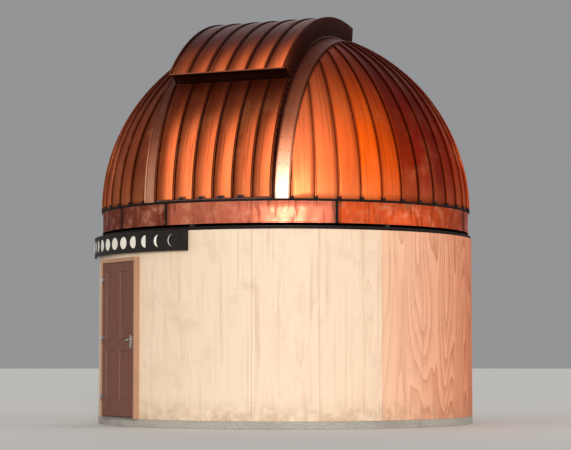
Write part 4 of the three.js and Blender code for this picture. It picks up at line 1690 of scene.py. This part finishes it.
@dataclass
class DomeShell:
    """Turning ring, skirt, gores and standing seams of the dome."""

    looks: Finishes
    dice: random.Random = field(default_factory=lambda: random.Random(52))
    ring_inner: float = 2.43
    ring_bottom: float = -0.2347
    ring_flange: float = 0.012
    drum: float = 2.5125
    skirt_joints: tuple[float, ...] = (-36.3, -14.9, 37.4, 94.66, 151.92, 209.18, 266.44, 323.7)
    # Tones at both ends and warmth of each skirt sheet: the bright sheets facing the front and the dark side
    # sheets are painted highlight and shade.
    skirt_tones: tuple[tuple[float, float, float], ...] = (
        (0.2, 0.26, 0.25), (0.62, 1.15, 0.25), (0.9, 0.4, 0.75), (0.6, 0.5, 0.5), (0.5, 0.56, 0.4),
        (0.56, 0.4, 0.6), (0.3, 0.14, 0.3),
    )
    skirt_bottom: float = -0.305
    skirt_top: float = -0.031
    skirt_sheet: float = 0.004
    skirt_gap: float = 0.036
    skirt_bead: float = 0.006
    gasket_rise: float = 0.012
    screw_spacing: float = 0.17
    screw_inset: float = 0.05
    edge: float = 1.0183
    first_seam: int = 3
    sector_gores: tuple[int, ...] = (5, 5, 5, 4)
    back_half: float = 0.7517
    back_gores: int = 10
    back_top: float = 82.0
    head_angle: float = 99.55
    columns: int = 8
    least_rows: int = 8
    row_step: float = 2.2
    steep: float = 8.0
    crown: float = 0.004
    ripple: float = 0.0016
    seam_rise: float = 0.027
    seam_foot: float = 0.35
    seam_step: float = 2.0
    # Warmth by bearing from the slit: deep red towards the right and brown on the left are partly painted
    # coloured light and shade.
    warmth: tuple[Pair, ...] = (
        (-180, 0.45), (-120, 0.35), (-60, 0.12), (-24, 0.16), (24, 0.36), (44, 0.56), (66, 0.84),
        (100, 0.8), (140, 0.5), (180, 0.45),
    )
    # Tone and warmth of the first gores from the slit outwards: their tones, light on the right and darker on
    # the left, are painted light and shade.
    right_tints: tuple[Pair, ...] = (
        (0.96, 0.37), (0.86, 0.42), (0.76, 0.5), (0.8, 0.58), (0.54, 0.66), (0.34, 0.84), (0.5, 0.89),
        (0.34, 0.9), (0.46, 0.86),
    )
    left_tints: tuple[Pair, ...] = (
        (0.42, 0.1), (0.52, 0.14), (0.46, 0.16), (0.6, 0.2), (0.52, 0.24),
    )

    @property
    def half_gap(self) -> float:
        """Half the gap between two sheets of the skirt, in degrees."""
        return degrees(self.skirt_gap / 2 / SITE.dome_radius)

    def build(self) -> None:
        """Builds and dresses every piece of the shell."""
        self.base_ring()
        self.skirt()
        self.gasket()
        self.side_gores()
        self.rear_gores()
        self.seams()
        self.skirt_screws()

    def seam(self, index: int) -> float:
        """Bearing of a seam."""
        return (index + 0.5) * 360 / SITE.gores

    def warmth_at(self, bearing: float) -> float:
        """Warmth of the sheets at a bearing.

        Args:
            bearing: The bearing in degrees.

        Returns:
            The warmth.
        """
        place = (bearing + 180) % 360 - 180
        for (b0, w0), (b1, w1) in pairs(self.warmth):
            if b0 <= place <= b1:
                return lerp(w0, w1, (place - b0) / (b1 - b0))
        return self.warmth[-1][1]

    def tint(self, bearing: float) -> Skin:
        """Colour of a gore at a bearing, with a chance share."""
        warm = self.warmth_at(bearing) + self.dice.uniform(-0.06, 0.06)
        return Skin(tone=self.dice.uniform(0.38, 0.78), warmth=warm)

    def base_ring(self) -> None:
        """Makes the turning ring: a flange on the rollers and a drum under the gores."""
        bottom, flange = self.ring_bottom, self.ring_bottom + self.ring_flange
        inner, outer = self.ring_inner, self.drum
        drum = outer - SITE.shell
        outline = [(inner, bottom), (outer, bottom), (outer, 0), (drum, 0), (drum, flange), (inner, flange)]
        draft = Draft()
        draft.ring(outline)
        draft.make("turning_ring", self.looks.primer, "dome", "dome_steel", "dome_base_ring", bevel=0.0015)

    def skirt(self) -> None:
        """Makes the skirt's sheets with a rolled bead at the foot and a dark gap at each joint."""
        inner = self.drum + 0.001
        outer = inner + self.skirt_sheet
        bead, low, high = self.skirt_bead, self.skirt_bottom, self.skirt_top
        outline = [
            (inner, low), (outer + bead, low), (outer + bead, low + bead * 1.6), (outer, low + bead * 2.6),
            (outer, lerp(low, high, 0.35)), (outer, lerp(low, high, 0.65)), (outer, high - bead * 2),
            (outer + bead * 0.6, high - bead), (outer + bead * 0.6, high), (inner, high),
        ]
        for i, ((start, end), tones) in enumerate(zip(pairs(self.skirt_joints), self.skirt_tones), 1):
            first, last, warmth = tones
            bearings = steps(start + self.half_gap, end - self.half_gap, SITE.fine_step)
            count = len(bearings) - 1
            sections = []
            skins = []
            for n, bearing in enumerate(bearings):
                wave = 0.0012 * sin(bearing * 0.9 + i) + 0.0008 * sin(bearing * 2.3)
                waved = [(radius + wave if radius > inner else radius, z) for radius, z in outline]
                sections.append([ring_point(bearing, radius, z) for radius, z in waved])
                across = min(0.5, min(n, count - n) / 12)
                skins.append([Skin(lerp(first, last, n / count), across, warmth)] * len(outline))
            draft = Draft()
            draft.loft(sections, skins)
            node = f"skirt_sheet_{i}"
            draft.make(f"skirt_band_{i}", self.looks.skirt, "dome", "skirt", node, bevel=0.001)

    def gasket(self) -> None:
        """Makes the dark strips that close the joints of the skirt, to the gores and between its sheets."""
        low, high = self.skirt_top + 0.001, -0.0003
        inner, outer = self.drum + 0.0005, self.drum + self.gasket_rise
        draft = Draft()
        # The dark strip under the gores is painted shade: it stands in for the shadow line at the spring
        # line.
        draft.ring([(inner, low), (outer, low), (outer, high - 0.004), (outer - 0.004, high), (inner, high)])
        half = self.half_gap * 1.02
        bottom, top = self.skirt_bottom + 0.002, self.skirt_top + 0.0005
        strip = rectangle(self.drum + 0.0003, self.drum + 0.002, bottom, top)
        for joint in self.skirt_joints[:-1]:
            draft.bent(strip, (joint - half, joint, joint + half))
        draft.make("skirt_gaskets", self.looks.gasket, "dome", "skirt", bevel=0.0006)

    def gore(self, draft: Draft, seams: Pair, top_at: Callable[[float], float], skin: Skin) -> None:
        """Adds one gore between two seams.

        Args:
            draft: Mesh in the making.
            seams: Bearings of both seams.
            top_at: Height angle of its upper edge at a place across it.
            skin: Its colour.
        """
        shares = [i / self.columns for i in range(self.columns + 1)]
        if top_at(0) < top_at(1) - self.steep:
            shares = [share ** 2 for share in shares]
        elif top_at(1) < top_at(0) - self.steep:
            shares = [1 - (1 - share) ** 2 for share in shares]
        tops = [top_at(share) for share in shares]
        phases = (self.dice.uniform(0, 6), self.dice.uniform(0, 6))

        def pan_point(share: float, rise: float) -> Vector:
            """Point of the flat pan, with a slight crown and long soft ripples.

            Args:
                share: Place across it from 0 to 1.
                rise: Height angle.

            Returns:
                The point.
            """
            low, high = [dome_point(bearing, rise, SITE.dome_radius - 0.0005) for bearing in seams]
            flat = low.lerp(high, share)
            wave = sin(radians(rise * 9) + phases[0]) + 0.6 * sin(radians(rise * 17) + phases[1])
            push = self.crown * 4 * share * (1 - share) + self.ripple * wave * sin(pi * share)
            return flat + flat.normalized() * push

        rows = max(self.least_rows, ceil(max(tops) / self.row_step))
        places = [
            [pan_point(share, top * j / rows) for share, top in zip(shares, tops)] for j in range(rows + 1)
        ]
        # Painted light: each gore runs from lighter at its first seam to darker at its second.
        skins = [Skin(skin.tone * lerp(1.16, 0.8, share), share, skin.warmth) for share in shares]
        draft.sheet(places, [skins] * len(places))

    def rise_at(self, edge: float, bearing: float) -> float:
        """Height angle at which a meridian passes a distance beside the slit's middle."""
        return degrees(acos(min(1.0, edge / (abs(sin(radians(bearing))) * SITE.dome_radius))))

    def side_gores(self) -> None:
        """Makes the gores beside the slit."""
        for (side, sign), front in zip(SIDES, (self.right_tints, self.left_tints)):
            tints = [Skin(tone=tone, warmth=warmth) for tone, warmth in front]
            seam = self.first_seam
            for i, count in enumerate(self.sector_gores, 1):
                draft = Draft()
                for index in range(seam, seam + count):
                    low, high = seams = sign * self.seam(index), sign * self.seam(index + 1)
                    ends = sin(radians(low)), sin(radians(high))

                    def top_at(share: float) -> float:
                        """Height angle at a place across the pan."""
                        return self.rise_at(self.edge, degrees(asin(lerp(*ends, share))))

                    tint = tints.pop(0) if tints else self.tint((low + high) / 2)
                    self.gore(draft, seams, top_at, tint)
                seam += count
                piece = draft.build(f"gore_pans_{side}_{i}", "dome", closed=False)
                dress(piece, self.looks.gores, "dome", "gores", f"gores_{side}_{i}", thickness=SITE.shell)

    def rear_gores(self) -> None:
        """Makes the gores behind the slit, cut at the rails and at the slit's head."""
        draft = Draft()
        middle = SITE.gores // 2
        for index in range(middle - self.back_gores, middle + self.back_gores - 1):
            low, high = self.seam(index), self.seam(index + 1)
            self.gore(draft, (low, high), lambda share: self.back_top, self.tint((low + high) / 2))
        # It stays about the dome's own centre until it is cut, and is put in its place after that.
        piece = draft.build("gore_pans_back", "building", closed=False)
        work = bmesh.new()
        work.from_mesh(piece.data)
        head = radians(self.head_angle)
        for point, outward in (
            (X_AXIS * self.back_half, X_AXIS),
            (X_AXIS * -self.back_half, -X_AXIS),
            ((0, 0, 0), (0, -sin(head), -cos(head))),
        ):
            whole = work.verts[:] + work.edges[:] + work.faces[:]
            bmesh.ops.bisect_plane(work, geom=whole, plane_co=point, plane_no=outward, clear_outer=True)
        work.to_mesh(piece.data)
        work.free()
        piece.data.transform(SITE.place("dome"))
        dress(piece, self.looks.gores, "dome", "gores", "gores_back", thickness=SITE.shell)

    def seam_lines(self) -> list[list[Spot]]:
        """Points of every seam, with the way that they face.

        Returns:
            Lines of points and directions.
        """
        spans = []
        last = self.first_seam + sum(self.sector_gores)
        for sign, index in product((1, -1), range(self.first_seam, last + 1)):
            bearing = sign * self.seam(index)
            spans.append((bearing, self.seam_foot, self.rise_at(self.edge + 0.01, bearing)))
        middle = SITE.gores // 2
        for index in range(middle - self.back_gores + 1, middle + self.back_gores - 1):
            bearing = self.seam(index)
            low = self.rise_at(self.back_half - 0.012, bearing) or self.seam_foot
            slope = tan(radians(180 - self.head_angle)) * -cos(radians(bearing))
            spans.append((bearing, low, degrees(atan(slope)) - 0.4))
        lines = []
        for bearing, low, high in spans:
            if high > low + 2:
                radius = SITE.dome_radius - 0.001
                points = [dome_point(bearing, rise, radius) for rise in steps(low, high, self.seam_step)]
                lines.append([(point, point.normalized()) for point in points])
        return lines

    def seams(self) -> None:
        """Makes the standing seams and the caps at their feet."""
        lines = self.seam_lines()
        gores = self.looks.gores
        grow("standing_seams", seam_tree(), lines, gores, "dome", "gores", skin_at=self.shaded_seam_skin)
        feet = []
        for point, aim in (line[0] for line in lines):
            if point.z < 0.1:
                out = Vector((aim.x, aim.y, 0)).normalized()
                feet.append([(Vector((point.x, point.y, 0.005)) + out * 0.01, out)])
        # The seam foot caps take the dark gasket finish as painted shade at the spring line.
        grow("seam_foot_caps", seam_foot_tree(), feet, self.looks.gasket, "dome", "gores")

    def shaded_seam_skin(self, place: Vector) -> Skin:
        """Dark skin of a seam, painted shade that is darkest where it meets the pans, as warm as the gores
        beside it.

        Args:
            place: Point of the seam, where it stands.

        Returns:
            The skin.
        """
        point = SITE.place("dome").inverted() @ place
        out = limited((point.length - SITE.dome_radius) / self.seam_rise)
        warm = self.warmth_at(degrees(atan2(point.x, -point.y)))
        return Skin(tone=0.06 + 0.26 * out, across=0.02 + 0.1 * out, warmth=warm)

    def skirt_screws(self) -> None:
        """Sets the screws along the skirt's edges."""
        spots = []
        spacing, inset = [degrees(size / SITE.dome_radius) for size in (self.screw_spacing, self.screw_inset)]
        heights = (self.skirt_bottom + 0.04, self.skirt_top - 0.032)
        for start, end in pairs(self.skirt_joints):
            bearings = steps(start + inset, end - inset, spacing)
            spots += [ring_spot(bearing, self.drum + 0.005, z) for bearing, z in product(bearings, heights)]
        grow("skirt_screws", fastener_tree(), spots, self.looks.skirt, "dome", "skirt")


@dataclass
class Slit:
    """Arch rails, flashings, head and sill of the slit."""

    looks: Finishes
    rail_inner: float = 0.752
    rail_outer: float = 0.8
    rail_bottom: float = 2.3
    flashing_outer: float = 1.018
    # The left flashing's darker foot is painted shade.
    flashing_tones: Pair = (1.0, 0.24)
    flashing_rise: float = 0.003
    lip: float = 0.016
    lip_width: float = 0.015
    arch_step: float = 2.0
    foot: float = 0.0075
    head_start: float = 97.0
    head_end: float = 99.5
    head_depth: float = 0.11
    sill_back: float = 2.34
    sill_front: float = 2.512
    sill_plate: float = 0.01
    upstand_front: float = 2.4
    upstand_height: float = 0.06
    rod_radius: float = 0.009
    rod_head: float = 0.013
    rod_tip: float = 0.008
    lug_gap: float = 0.006
    lug_thickness: float = 0.012
    lug_half_depth: float = 0.017
    lug_top: float = 0.052
    screw_step: float = 4.4

    @property
    def half(self) -> float:
        """Half width of what lies between the rails."""
        return self.rail_inner - SITE.touch

    @property
    def crown(self) -> float:
        """Radius of the flashings' face."""
        return SITE.dome_radius + self.flashing_rise

    def build(self) -> None:
        """Builds and dresses every piece of the slit."""
        for side, sign in SIDES:
            self.rail(side, sign)
        for (side, sign), tone in zip(SIDES, self.flashing_tones):
            self.flashing(side, sign, tone)
        self.head()
        self.sill()
        self.rods()
        self.screws()

    def arch_shading(self, angle: float) -> float:
        """Share of light tone that a flashing keeps at an arch angle: painted highlight at its feet, painted
        shade towards the top.
        """
        return 1.2 - 0.96 * smooth(90 - abs(angle - 90), 11, 30)

    def rail(self, side: str, sign: int) -> None:
        """Makes an arch rail at the slit's edge.

        Args:
            side: Name of its side.
            sign: 1 for right and -1 for left.
        """
        outline = rectangle(sign * self.rail_inner, sign * self.rail_outer, self.rail_bottom, SITE.rail_top)
        draft = Draft()
        draft.arch(outline, steps(self.foot, 180 - self.foot, self.arch_step))
        node = f"arch_rail_{side}"
        draft.make(f"rail_arch_{side}", self.looks.primer, "dome", "dome_steel", node, bevel=0.003)

    def flashing(self, side: str, sign: int, tone: float) -> None:
        """Makes a curved flashing with its raised outer lip.

        Args:
            side: Name of its side.
            sign: 1 for right and -1 for left.
            tone: How light its face is at its foot.
        """
        start, end = self.rail_outer + SITE.touch, self.flashing_outer - self.lip_width
        top = [(x, ball_radius(x, self.crown)) for x in steps(start, end, 0.04)]
        lip = ball_radius(self.flashing_outer, self.crown) + self.lip
        inner = self.crown - SITE.shell
        under = [(x, ball_radius(x, inner)) for x in steps(self.flashing_outer, start, 0.06)]
        outline = [*top, (end, lip), (self.flashing_outer, lip), *under]
        skins = [Skin(tone, lerp(0.0, 0.98, i / (len(top) - 1)), 0.5) for i in range(len(top))]
        # Painted shade: the flashing's strip beside the shutter is black, and its lip and underside are dark.
        skins[:2] = [SHADE_SKIN] * 2
        skins += [Skin(0.5, 0.2, 0.5), Skin(0.4, 0.1, 0.5)] + [Skin(0.12, 0.05, 0.3)] * len(under)
        draft = Draft()
        placed = [(sign * x, radius) for x, radius in outline]
        draft.arch(placed, steps(self.foot, 180 - self.foot, self.arch_step), skins, self.arch_shading)
        node = f"slit_flashing_{side}"
        draft.make(f"flashing_band_{side}", self.looks.flashing, "dome", "flashing", node, bevel=0.0015)

    def head(self) -> None:
        """Makes the cross member behind the slit."""
        top = [(x, ball_radius(x, SITE.dome_radius + self.lip)) for x in steps(-self.half, self.half, 0.1)]
        draft = Draft()
        outline = [(x, radius - self.head_depth) for x, radius in top] + top[::-1]
        draft.arch(outline, steps(self.head_start, self.head_end, self.arch_step))
        draft.make("slit_head_beam", self.looks.flashing, "dome", "flashing", "slit_head", bevel=0.003)

    def sill(self) -> None:
        """Makes the sill plate with its upstand and lugs."""
        half, back = self.half, -self.sill_back
        low, high = SITE.touch, SITE.touch + self.sill_plate
        draft = Draft()
        front = [(x, -ball_radius(x, self.sill_front)) for x in steps(-half, half, 0.05)]
        draft.prism([*front, (half, back), (-half, back)], 2, (low, high))
        front = -self.upstand_front
        draft.box((-half, half), (front, front + SITE.shell), (high, self.upstand_height))
        y, _ = SITE.hinge
        deep = self.lug_half_depth
        turns = map(radians, steps(0, 180, 15))
        round_top = [(y + deep * cos(a), self.lug_top - deep + deep * sin(a)) for a in turns]
        lug = [(y + deep, high - 0.0005), *round_top, (y - deep, high - 0.0005)]
        inner = SITE.sleeve_half + self.lug_gap
        outer = inner + self.lug_thickness
        for x in SITE.hinges:
            draft.prism(lug, 0, (x - outer, x - inner))
            draft.prism(lug, 0, (x + inner, x + outer))
        draft.make("sill_with_lugs", self.looks.primer, "dome", "dome_steel", "slit_sill", bevel=0.0015)

    def rods(self) -> None:
        """Makes the hinge rods with their heads."""
        reach = SITE.sleeve_half + 2 * self.lug_gap + self.lug_thickness
        end, head, rod = 2 * reach, self.rod_head, self.rod_radius
        half = [(0, self.rod_tip), (0.004, head), (0.0065, head), (0.0068, rod)]
        profile = half + [(end - at, radius) for at, radius in half[::-1]]
        draft = Draft()
        for x in SITE.hinges:
            draft.turned(Vector((x - reach, *SITE.hinge)), X_AXIS, profile, 24)
        draft.make("sill_hinge_rods", self.looks.sooty, "dome", "dome_steel")

    def screws(self) -> None:
        """Sets the screws along both edges of the flashings."""
        rows = (self.rail_outer + 0.075, self.flashing_outer - 0.045)
        spots = []
        for sign, x, angle in product((1, -1), rows, steps(2, 178, self.screw_step)):
            point = arch_point(sign * x, ball_radius(x, self.crown), angle)
            spots.append([(point, point.normalized())])
        grow("flashing_screws", fastener_tree(), spots, self.looks.flashing, "dome", "flashing")


@dataclass(frozen=True)
class Pans:
    """Ribbed pans of a shutter: radii of its face and of its side walls' feet, tones and warmth."""

    radius: float
    flange: float
    tones: tuple[float, ...]
    warmth: float


@dataclass
class Shutters:
    """Hinged lower shutter and travelling upper hood, both of ribbed pans."""

    looks: Finishes
    half: float = 0.817
    skin: float = 0.012
    rib_width: float = 0.024
    rib_height: float = 0.0178
    crown: float = 0.006
    arch_step: float = 1.6
    lower_pans: Pans = Pans(2.43, 2.396, (0.72, 0.9, 0.84, 0.92, 0.6, 0.88), 0.39)
    lower_start: float = 0.55
    lower_end: float = 41.0
    # The hood's pans grow lighter from left to right as painted shade and light.
    upper_pans: Pans = Pans(2.64, 2.404, (0.28, 0.44, 0.5, 0.62, 0.72, 0.86), 0.34)
    upper_lip: float = 40.3
    upper_start: float = 41.6
    upper_end: float = 101.0
    end_wall: float = 0.3
    gap: float = 0.0005
    baffle_clear: float = 0.008
    rear_clear: float = 0.041
    hem_radius: float = 0.0085
    sleeve_radius: float = 0.016
    sleeve_bore: float = 0.0097
    roller_radius: float = 0.04
    roller_span: Pair = (0.76, 0.79)
    hub_radius: float = 0.019
    axle_radius: float = 0.012
    roller_angles: tuple[tuple[str, float], ...] = (("front", 45.0), ("rear", 90.0))
    rivet_step: float = 2.6

    @property
    def under(self) -> float:
        """Radius of the inner face of the hood's pans."""
        return self.upper_pans.radius - self.skin

    @property
    def inner(self) -> float:
        """Half width between the side walls."""
        return self.half - self.skin

    def build(self) -> None:
        """Builds and dresses both shutters."""
        self.lower()
        self.sleeves()
        self.hood()
        self.end_walls()
        for (label, angle), (side, sign) in product(self.roller_angles, SIDES):
            self.roller(f"{label}_{side}", sign, angle)
        self.rivets()

    def ribbed(self, pans: Pans) -> tuple[list[Pair], list[Skin]]:
        """Outer line of a shutter from left to right.

        Args:
            pans: The shutter's pans.

        Returns:
            Its points across and out, and their skins.
        """
        high = pans.radius + self.rib_height
        count = len(pans.tones)
        between = [2 * self.half / count * i - self.half - self.rib_width / 2 for i in range(1, count)]
        ribs = [-self.half, *between, self.half - self.rib_width]
        points = []
        skins = []
        # The ribs are dark as painted shade, and each bay runs from dark on its left to light on its right,
        # as painted shade and highlight.
        for i, start in enumerate(ribs):
            points += [(start, high), (start + self.rib_width, high)]
            skins += [Skin(0.1, 0.03, pans.warmth), Skin(0.2, 0.06, pans.warmth)]
            for share in steps(0, 1, 0.1) if i < count else ():
                x = lerp(start + self.rib_width, ribs[i + 1], share)
                points.append((x, pans.radius + self.crown * 4 * share * (1 - share)))
                lit = smooth(share, 0.2 if i == 0 else 0.02, 0.85)
                tone = pans.tones[i] * lerp(0.1, 1.42, lit)
                skins.append(Skin(tone, lerp(0.0, 0.93, share), pans.warmth))
        return points, skins

    def section(self, pans: Pans) -> tuple[list[Pair], list[Skin]]:
        """Closed outline of a shutter with its side walls.

        Args:
            pans: The shutter's pans.

        Returns:
            Its points across and out, and their skins.
        """
        points, skins = self.ribbed(pans)
        right = [(self.half, pans.flange), (self.inner, pans.flange), (self.inner, pans.radius - self.skin)]
        # The side walls take a black skin as painted shade.
        return points + right + [(-x, radius) for x, radius in right[::-1]], skins + [SHADE_SKIN] * 6

    def hood_shade(self, angle: float) -> float:
        """Share of light tone left by the painted shade under the hood, at an arch angle."""
        return 1 - 0.95 * smooth(angle, 10, 32)

    def arch_shading(self, angle: float) -> float:
        """Share of light tone that the hood keeps at an arch angle, with painted shade towards the top."""
        return 1 - 0.82 * smooth(angle, 38, 66)

    def lower(self) -> None:
        """Makes the lower shutter's ribbed panel."""
        draft = Draft()
        points, skins = self.section(self.lower_pans)
        draft.arch(points, steps(self.lower_start, self.lower_end, self.arch_step), skins, self.hood_shade)
        finish = self.looks.sooty_shutter
        draft.make("lower_shutter_panel", finish, "lower_shutter", "shutter", "lower_shutter", bevel=0.002)

    def sleeves(self) -> None:
        """Makes the sleeves and straps at the lower shutter's foot."""
        draft = Draft()
        y, z = SITE.hinge
        for start, end in ((x - SITE.sleeve_half, x + SITE.sleeve_half) for x in SITE.hinges):
            bore, outer = self.sleeve_bore, self.sleeve_radius
            rings = ((start, bore), (start, outer), (end, outer), (end, bore))
            sections = [circle(Vector((x, y, z)), X_AXIS, Y_AXIS, radius, 24) for x, radius in rings]
            draft.loft(sections, looped=True)
            depth = (y + outer - 0.001, -self.lower_pans.radius + 0.001)
            draft.box((start, end), depth, (z - 0.008, z + 0.012))
        sooty = self.looks.sooty
        draft.make("lower_shutter_sleeves", sooty, "lower_shutter", "shutter", bevel=0.0008)

    def hood(self) -> None:
        """Makes the hood's shell with its lip and side walls."""
        draft = Draft()
        points, skins = self.section(self.upper_pans)
        draft.arch(points, steps(self.upper_start, self.upper_end, self.arch_step), skins, self.arch_shading)
        points, skins = self.ribbed(self.upper_pans)
        points += [(self.half, self.under), (-self.half, self.under)]
        # The lip's underside is painted darker as shade.
        skins += [Skin(0.25, 0.2, self.upper_pans.warmth)] * 2
        draft.arch(points, steps(self.upper_lip, self.upper_start, self.arch_step), skins)
        draft.make("hood_shell", self.looks.shutter, "upper_shutter", "shutter", "upper_shutter", bevel=0.002)

    def end_walls(self) -> None:
        """Makes the hood's baffle, rear wall and front hem."""
        side, top = self.inner - self.gap, self.under - self.gap
        baffle = rectangle(-side, side, SITE.rail_top + self.baffle_clear, top)
        foot = SITE.dome_radius + self.rear_clear
        rear = [(x, ball_radius(x, foot)) for x in steps(-side, side, 0.08)] + [(side, top), (-side, top)]
        start, end = self.upper_start, self.upper_end - self.end_wall
        # The front baffle takes a black skin as painted shade under the hood's lip.
        for name, outline, angle, skin in (
            ("hood_front_seal", baffle, start, SHADE_SKIN), ("hood_rear_wall", rear, end, Skin(0.5, 0.3, 0.3)),
        ):
            draft = Draft()
            draft.arch(outline, steps(angle, angle + self.end_wall, self.arch_step), skin)
            draft.make(name, self.looks.shutter, "upper_shutter", "shutter", bevel=0.0015)
        hem = Draft()
        xs = steps(-self.half, self.half, 0.1)
        path = [arch_point(x, self.upper_pans.radius - 0.003, self.upper_lip) for x in xs]
        # The hem's full tone in the lighter flashing finish is a painted highlight along the hood's lip.
        hem.tube(path, [self.hem_radius] * len(path), 14, Skin(1.0, 0.5, 0.7))
        hem.make("hood_front_hem", self.looks.flashing, "upper_shutter", "shutter")

    def roller(self, place: str, sign: int, angle: float) -> None:
        """Makes a roller of the hood with its rim, hub and axle.

        Args:
            place: Name of its place.
            sign: 1 for right and -1 for left.
            angle: Arch angle at which it stands.
        """
        start, end = self.roller_span
        width, r, axle, hub = end - start, self.roller_radius, self.axle_radius, self.hub_radius
        rim = r - 0.0015
        profile = [
            (0.005, axle), (0.005, hub), (0.008, hub), (0.008, r - 0.009), (0, r - 0.007), (0, rim),
            (0.0015, r), (width - 0.0015, r), (width, rim), (width, r - 0.007), (width - 0.008, r - 0.009),
            (width - 0.008, hub), (width - 0.004, hub), (width - 0.004, axle),
        ]
        centre = arch_point(sign * start, SITE.rail_top + SITE.touch + r, angle)
        axis = X_AXIS * sign
        draft = Draft()
        draft.turned(centre, axis, profile, 40)
        pin = axle - 0.0005
        draft.turned(centre, axis, [(0.001, 0.008), (0.003, pin), (self.inner - SITE.touch - start, pin)], 24)
        node = f"shutter_roller_{place}"
        draft.make(f"hood_roller_{place}", self.looks.zinc, "upper_shutter", "track_steel", node)

    def rivets(self) -> None:
        """Sets rivets down the shutters' side walls."""
        low = (self.lower_pans.radius - 0.006,)
        high = (self.upper_pans.radius - 0.012, self.upper_pans.flange + 0.03)
        sizes = {"Head_Radius": 0.0055, "Head_Height": 0.0028, "Washer_Radius": 0.006, "Head_Sides": 12}
        for name, body, start, end, radii in (
            ("lower_shutter_rivets", "lower_shutter", self.lower_start + 1.5, self.lower_end - 1, low),
            ("hood_rivets", "upper_shutter", self.upper_start + 1, self.upper_end - 1, high),
        ):
            spots = []
            for sign, angle, radius in product((1, -1), steps(start, end, self.rivet_step), radii):
                spots.append([(arch_point(sign * self.half, radius, angle), X_AXIS * sign)])
            grow(
                name, fastener_tree(), spots, self.looks.shutter, body, "shutter",
                skin_at=lambda point: Skin(0.3, 0.3, 0.35), **sizes,
            )


@dataclass
class Studio:
    """Pale floor, soft lights and the camera at the photograph's viewing angle."""

    floor_radius: float = 90.0
    camera_bearing: float = 58.5
    camera_distance: float = 26.0
    camera_height: float = 0.95
    target: tuple[float, float, float] = (0.0, 0.0, 2.72)
    frame_width: float = 7.9
    sensor: float = 36.0
    lights: tuple[tuple[str, float, float, float, float], ...] = (
        ("key", 60.0, 9.0, 16.0, 2.45),
        ("fill", 340.0, 30.0, 60.0, 0.4),
        ("top", 120.0, 78.0, 90.0, 0.4),
        ("side", 138.0, 12.0, 34.0, 0.5),
        ("rim", 235.0, 26.0, 50.0, 0.55),
    )

    def build(self) -> None:
        """Builds the studio."""
        self.floor()
        self.world()
        for name, bearing, elevation, width, strength in self.lights:
            self.soft_light(name, dome_point(bearing, elevation, 1.0), width, strength)
        self.camera()

    def floor(self) -> None:
        """Makes the pale floor."""
        draft = Draft()
        ring = [ring_point(bearing, self.floor_radius, 0) for bearing in steps(0, 360, 5)[:-1]]
        draft.faces += [tuple(row) for row in draft.add_rows([ring], NEUTRAL)]
        floor = draft.build("studio_floor", "building", closed=False)
        if floor.data.polygons[0].normal.z < 0:
            floor.data.flip_normals()
        material = bpy.data.materials.new("studio_floor")
        material.use_nodes = True
        surface = material.node_tree.nodes["Principled BSDF"].inputs
        surface["Base Color"].default_value = srgb(214, 211, 206)
        surface["Roughness"].default_value = 0.9
        surface["Specular IOR Level"].default_value = 0.1
        floor.data.materials.append(material)

    def world(self) -> None:
        """Sets an even pale surround."""
        world = bpy.data.worlds.new("studio")
        world.use_nodes = True
        background = world.node_tree.nodes["Background"].inputs
        background["Color"].default_value = srgb(206, 207, 210)
        background["Strength"].default_value = 0.48
        bpy.context.scene.world = world

    def soft_light(self, name: str, source: Vector, width: float, strength: float) -> None:
        """Adds a far soft light.

        Args:
            name: Its name.
            source: Direction that it comes from.
            width: Angle in degrees that its face takes up.
            strength: Its strength in watts per square metre.
        """
        light = bpy.data.lights.new(name, "SUN")
        light.angle = radians(width)
        light.energy = strength
        lamp = linked(name, light)
        lamp.location = source * 20
        lamp.rotation_euler = source.to_track_quat("Z", "Y").to_euler()

    def camera(self) -> None:
        """Places the camera."""
        data = bpy.data.cameras.new("camera")
        data.sensor_width = self.sensor
        data.lens = self.sensor * self.camera_distance / self.frame_width
        data.clip_end = 500
        camera = linked("camera", data)
        camera.location = ring_point(self.camera_bearing, self.camera_distance, self.camera_height)
        aim = Vector(self.target) - camera.location
        camera.rotation_euler = aim.to_track_quat("-Z", "Y").to_euler()
        bpy.context.scene.camera = camera


def main() -> None:
    """Builds the observatory and the studio in order."""
    logging.basicConfig(level=logging.INFO, format="%(name)s: %(message)s")
    finishes = Finishes()
    for part in (Building, Doorway, SignBoard, RollerRing, DomeShell, Slit, Shutters):
        part(finishes).build()
        LOG.info("%s is done", part.__name__)
    Studio().build()
    bpy.context.scene.view_settings.view_transform = "Standard"


if __name__ == "__main__":
    main()
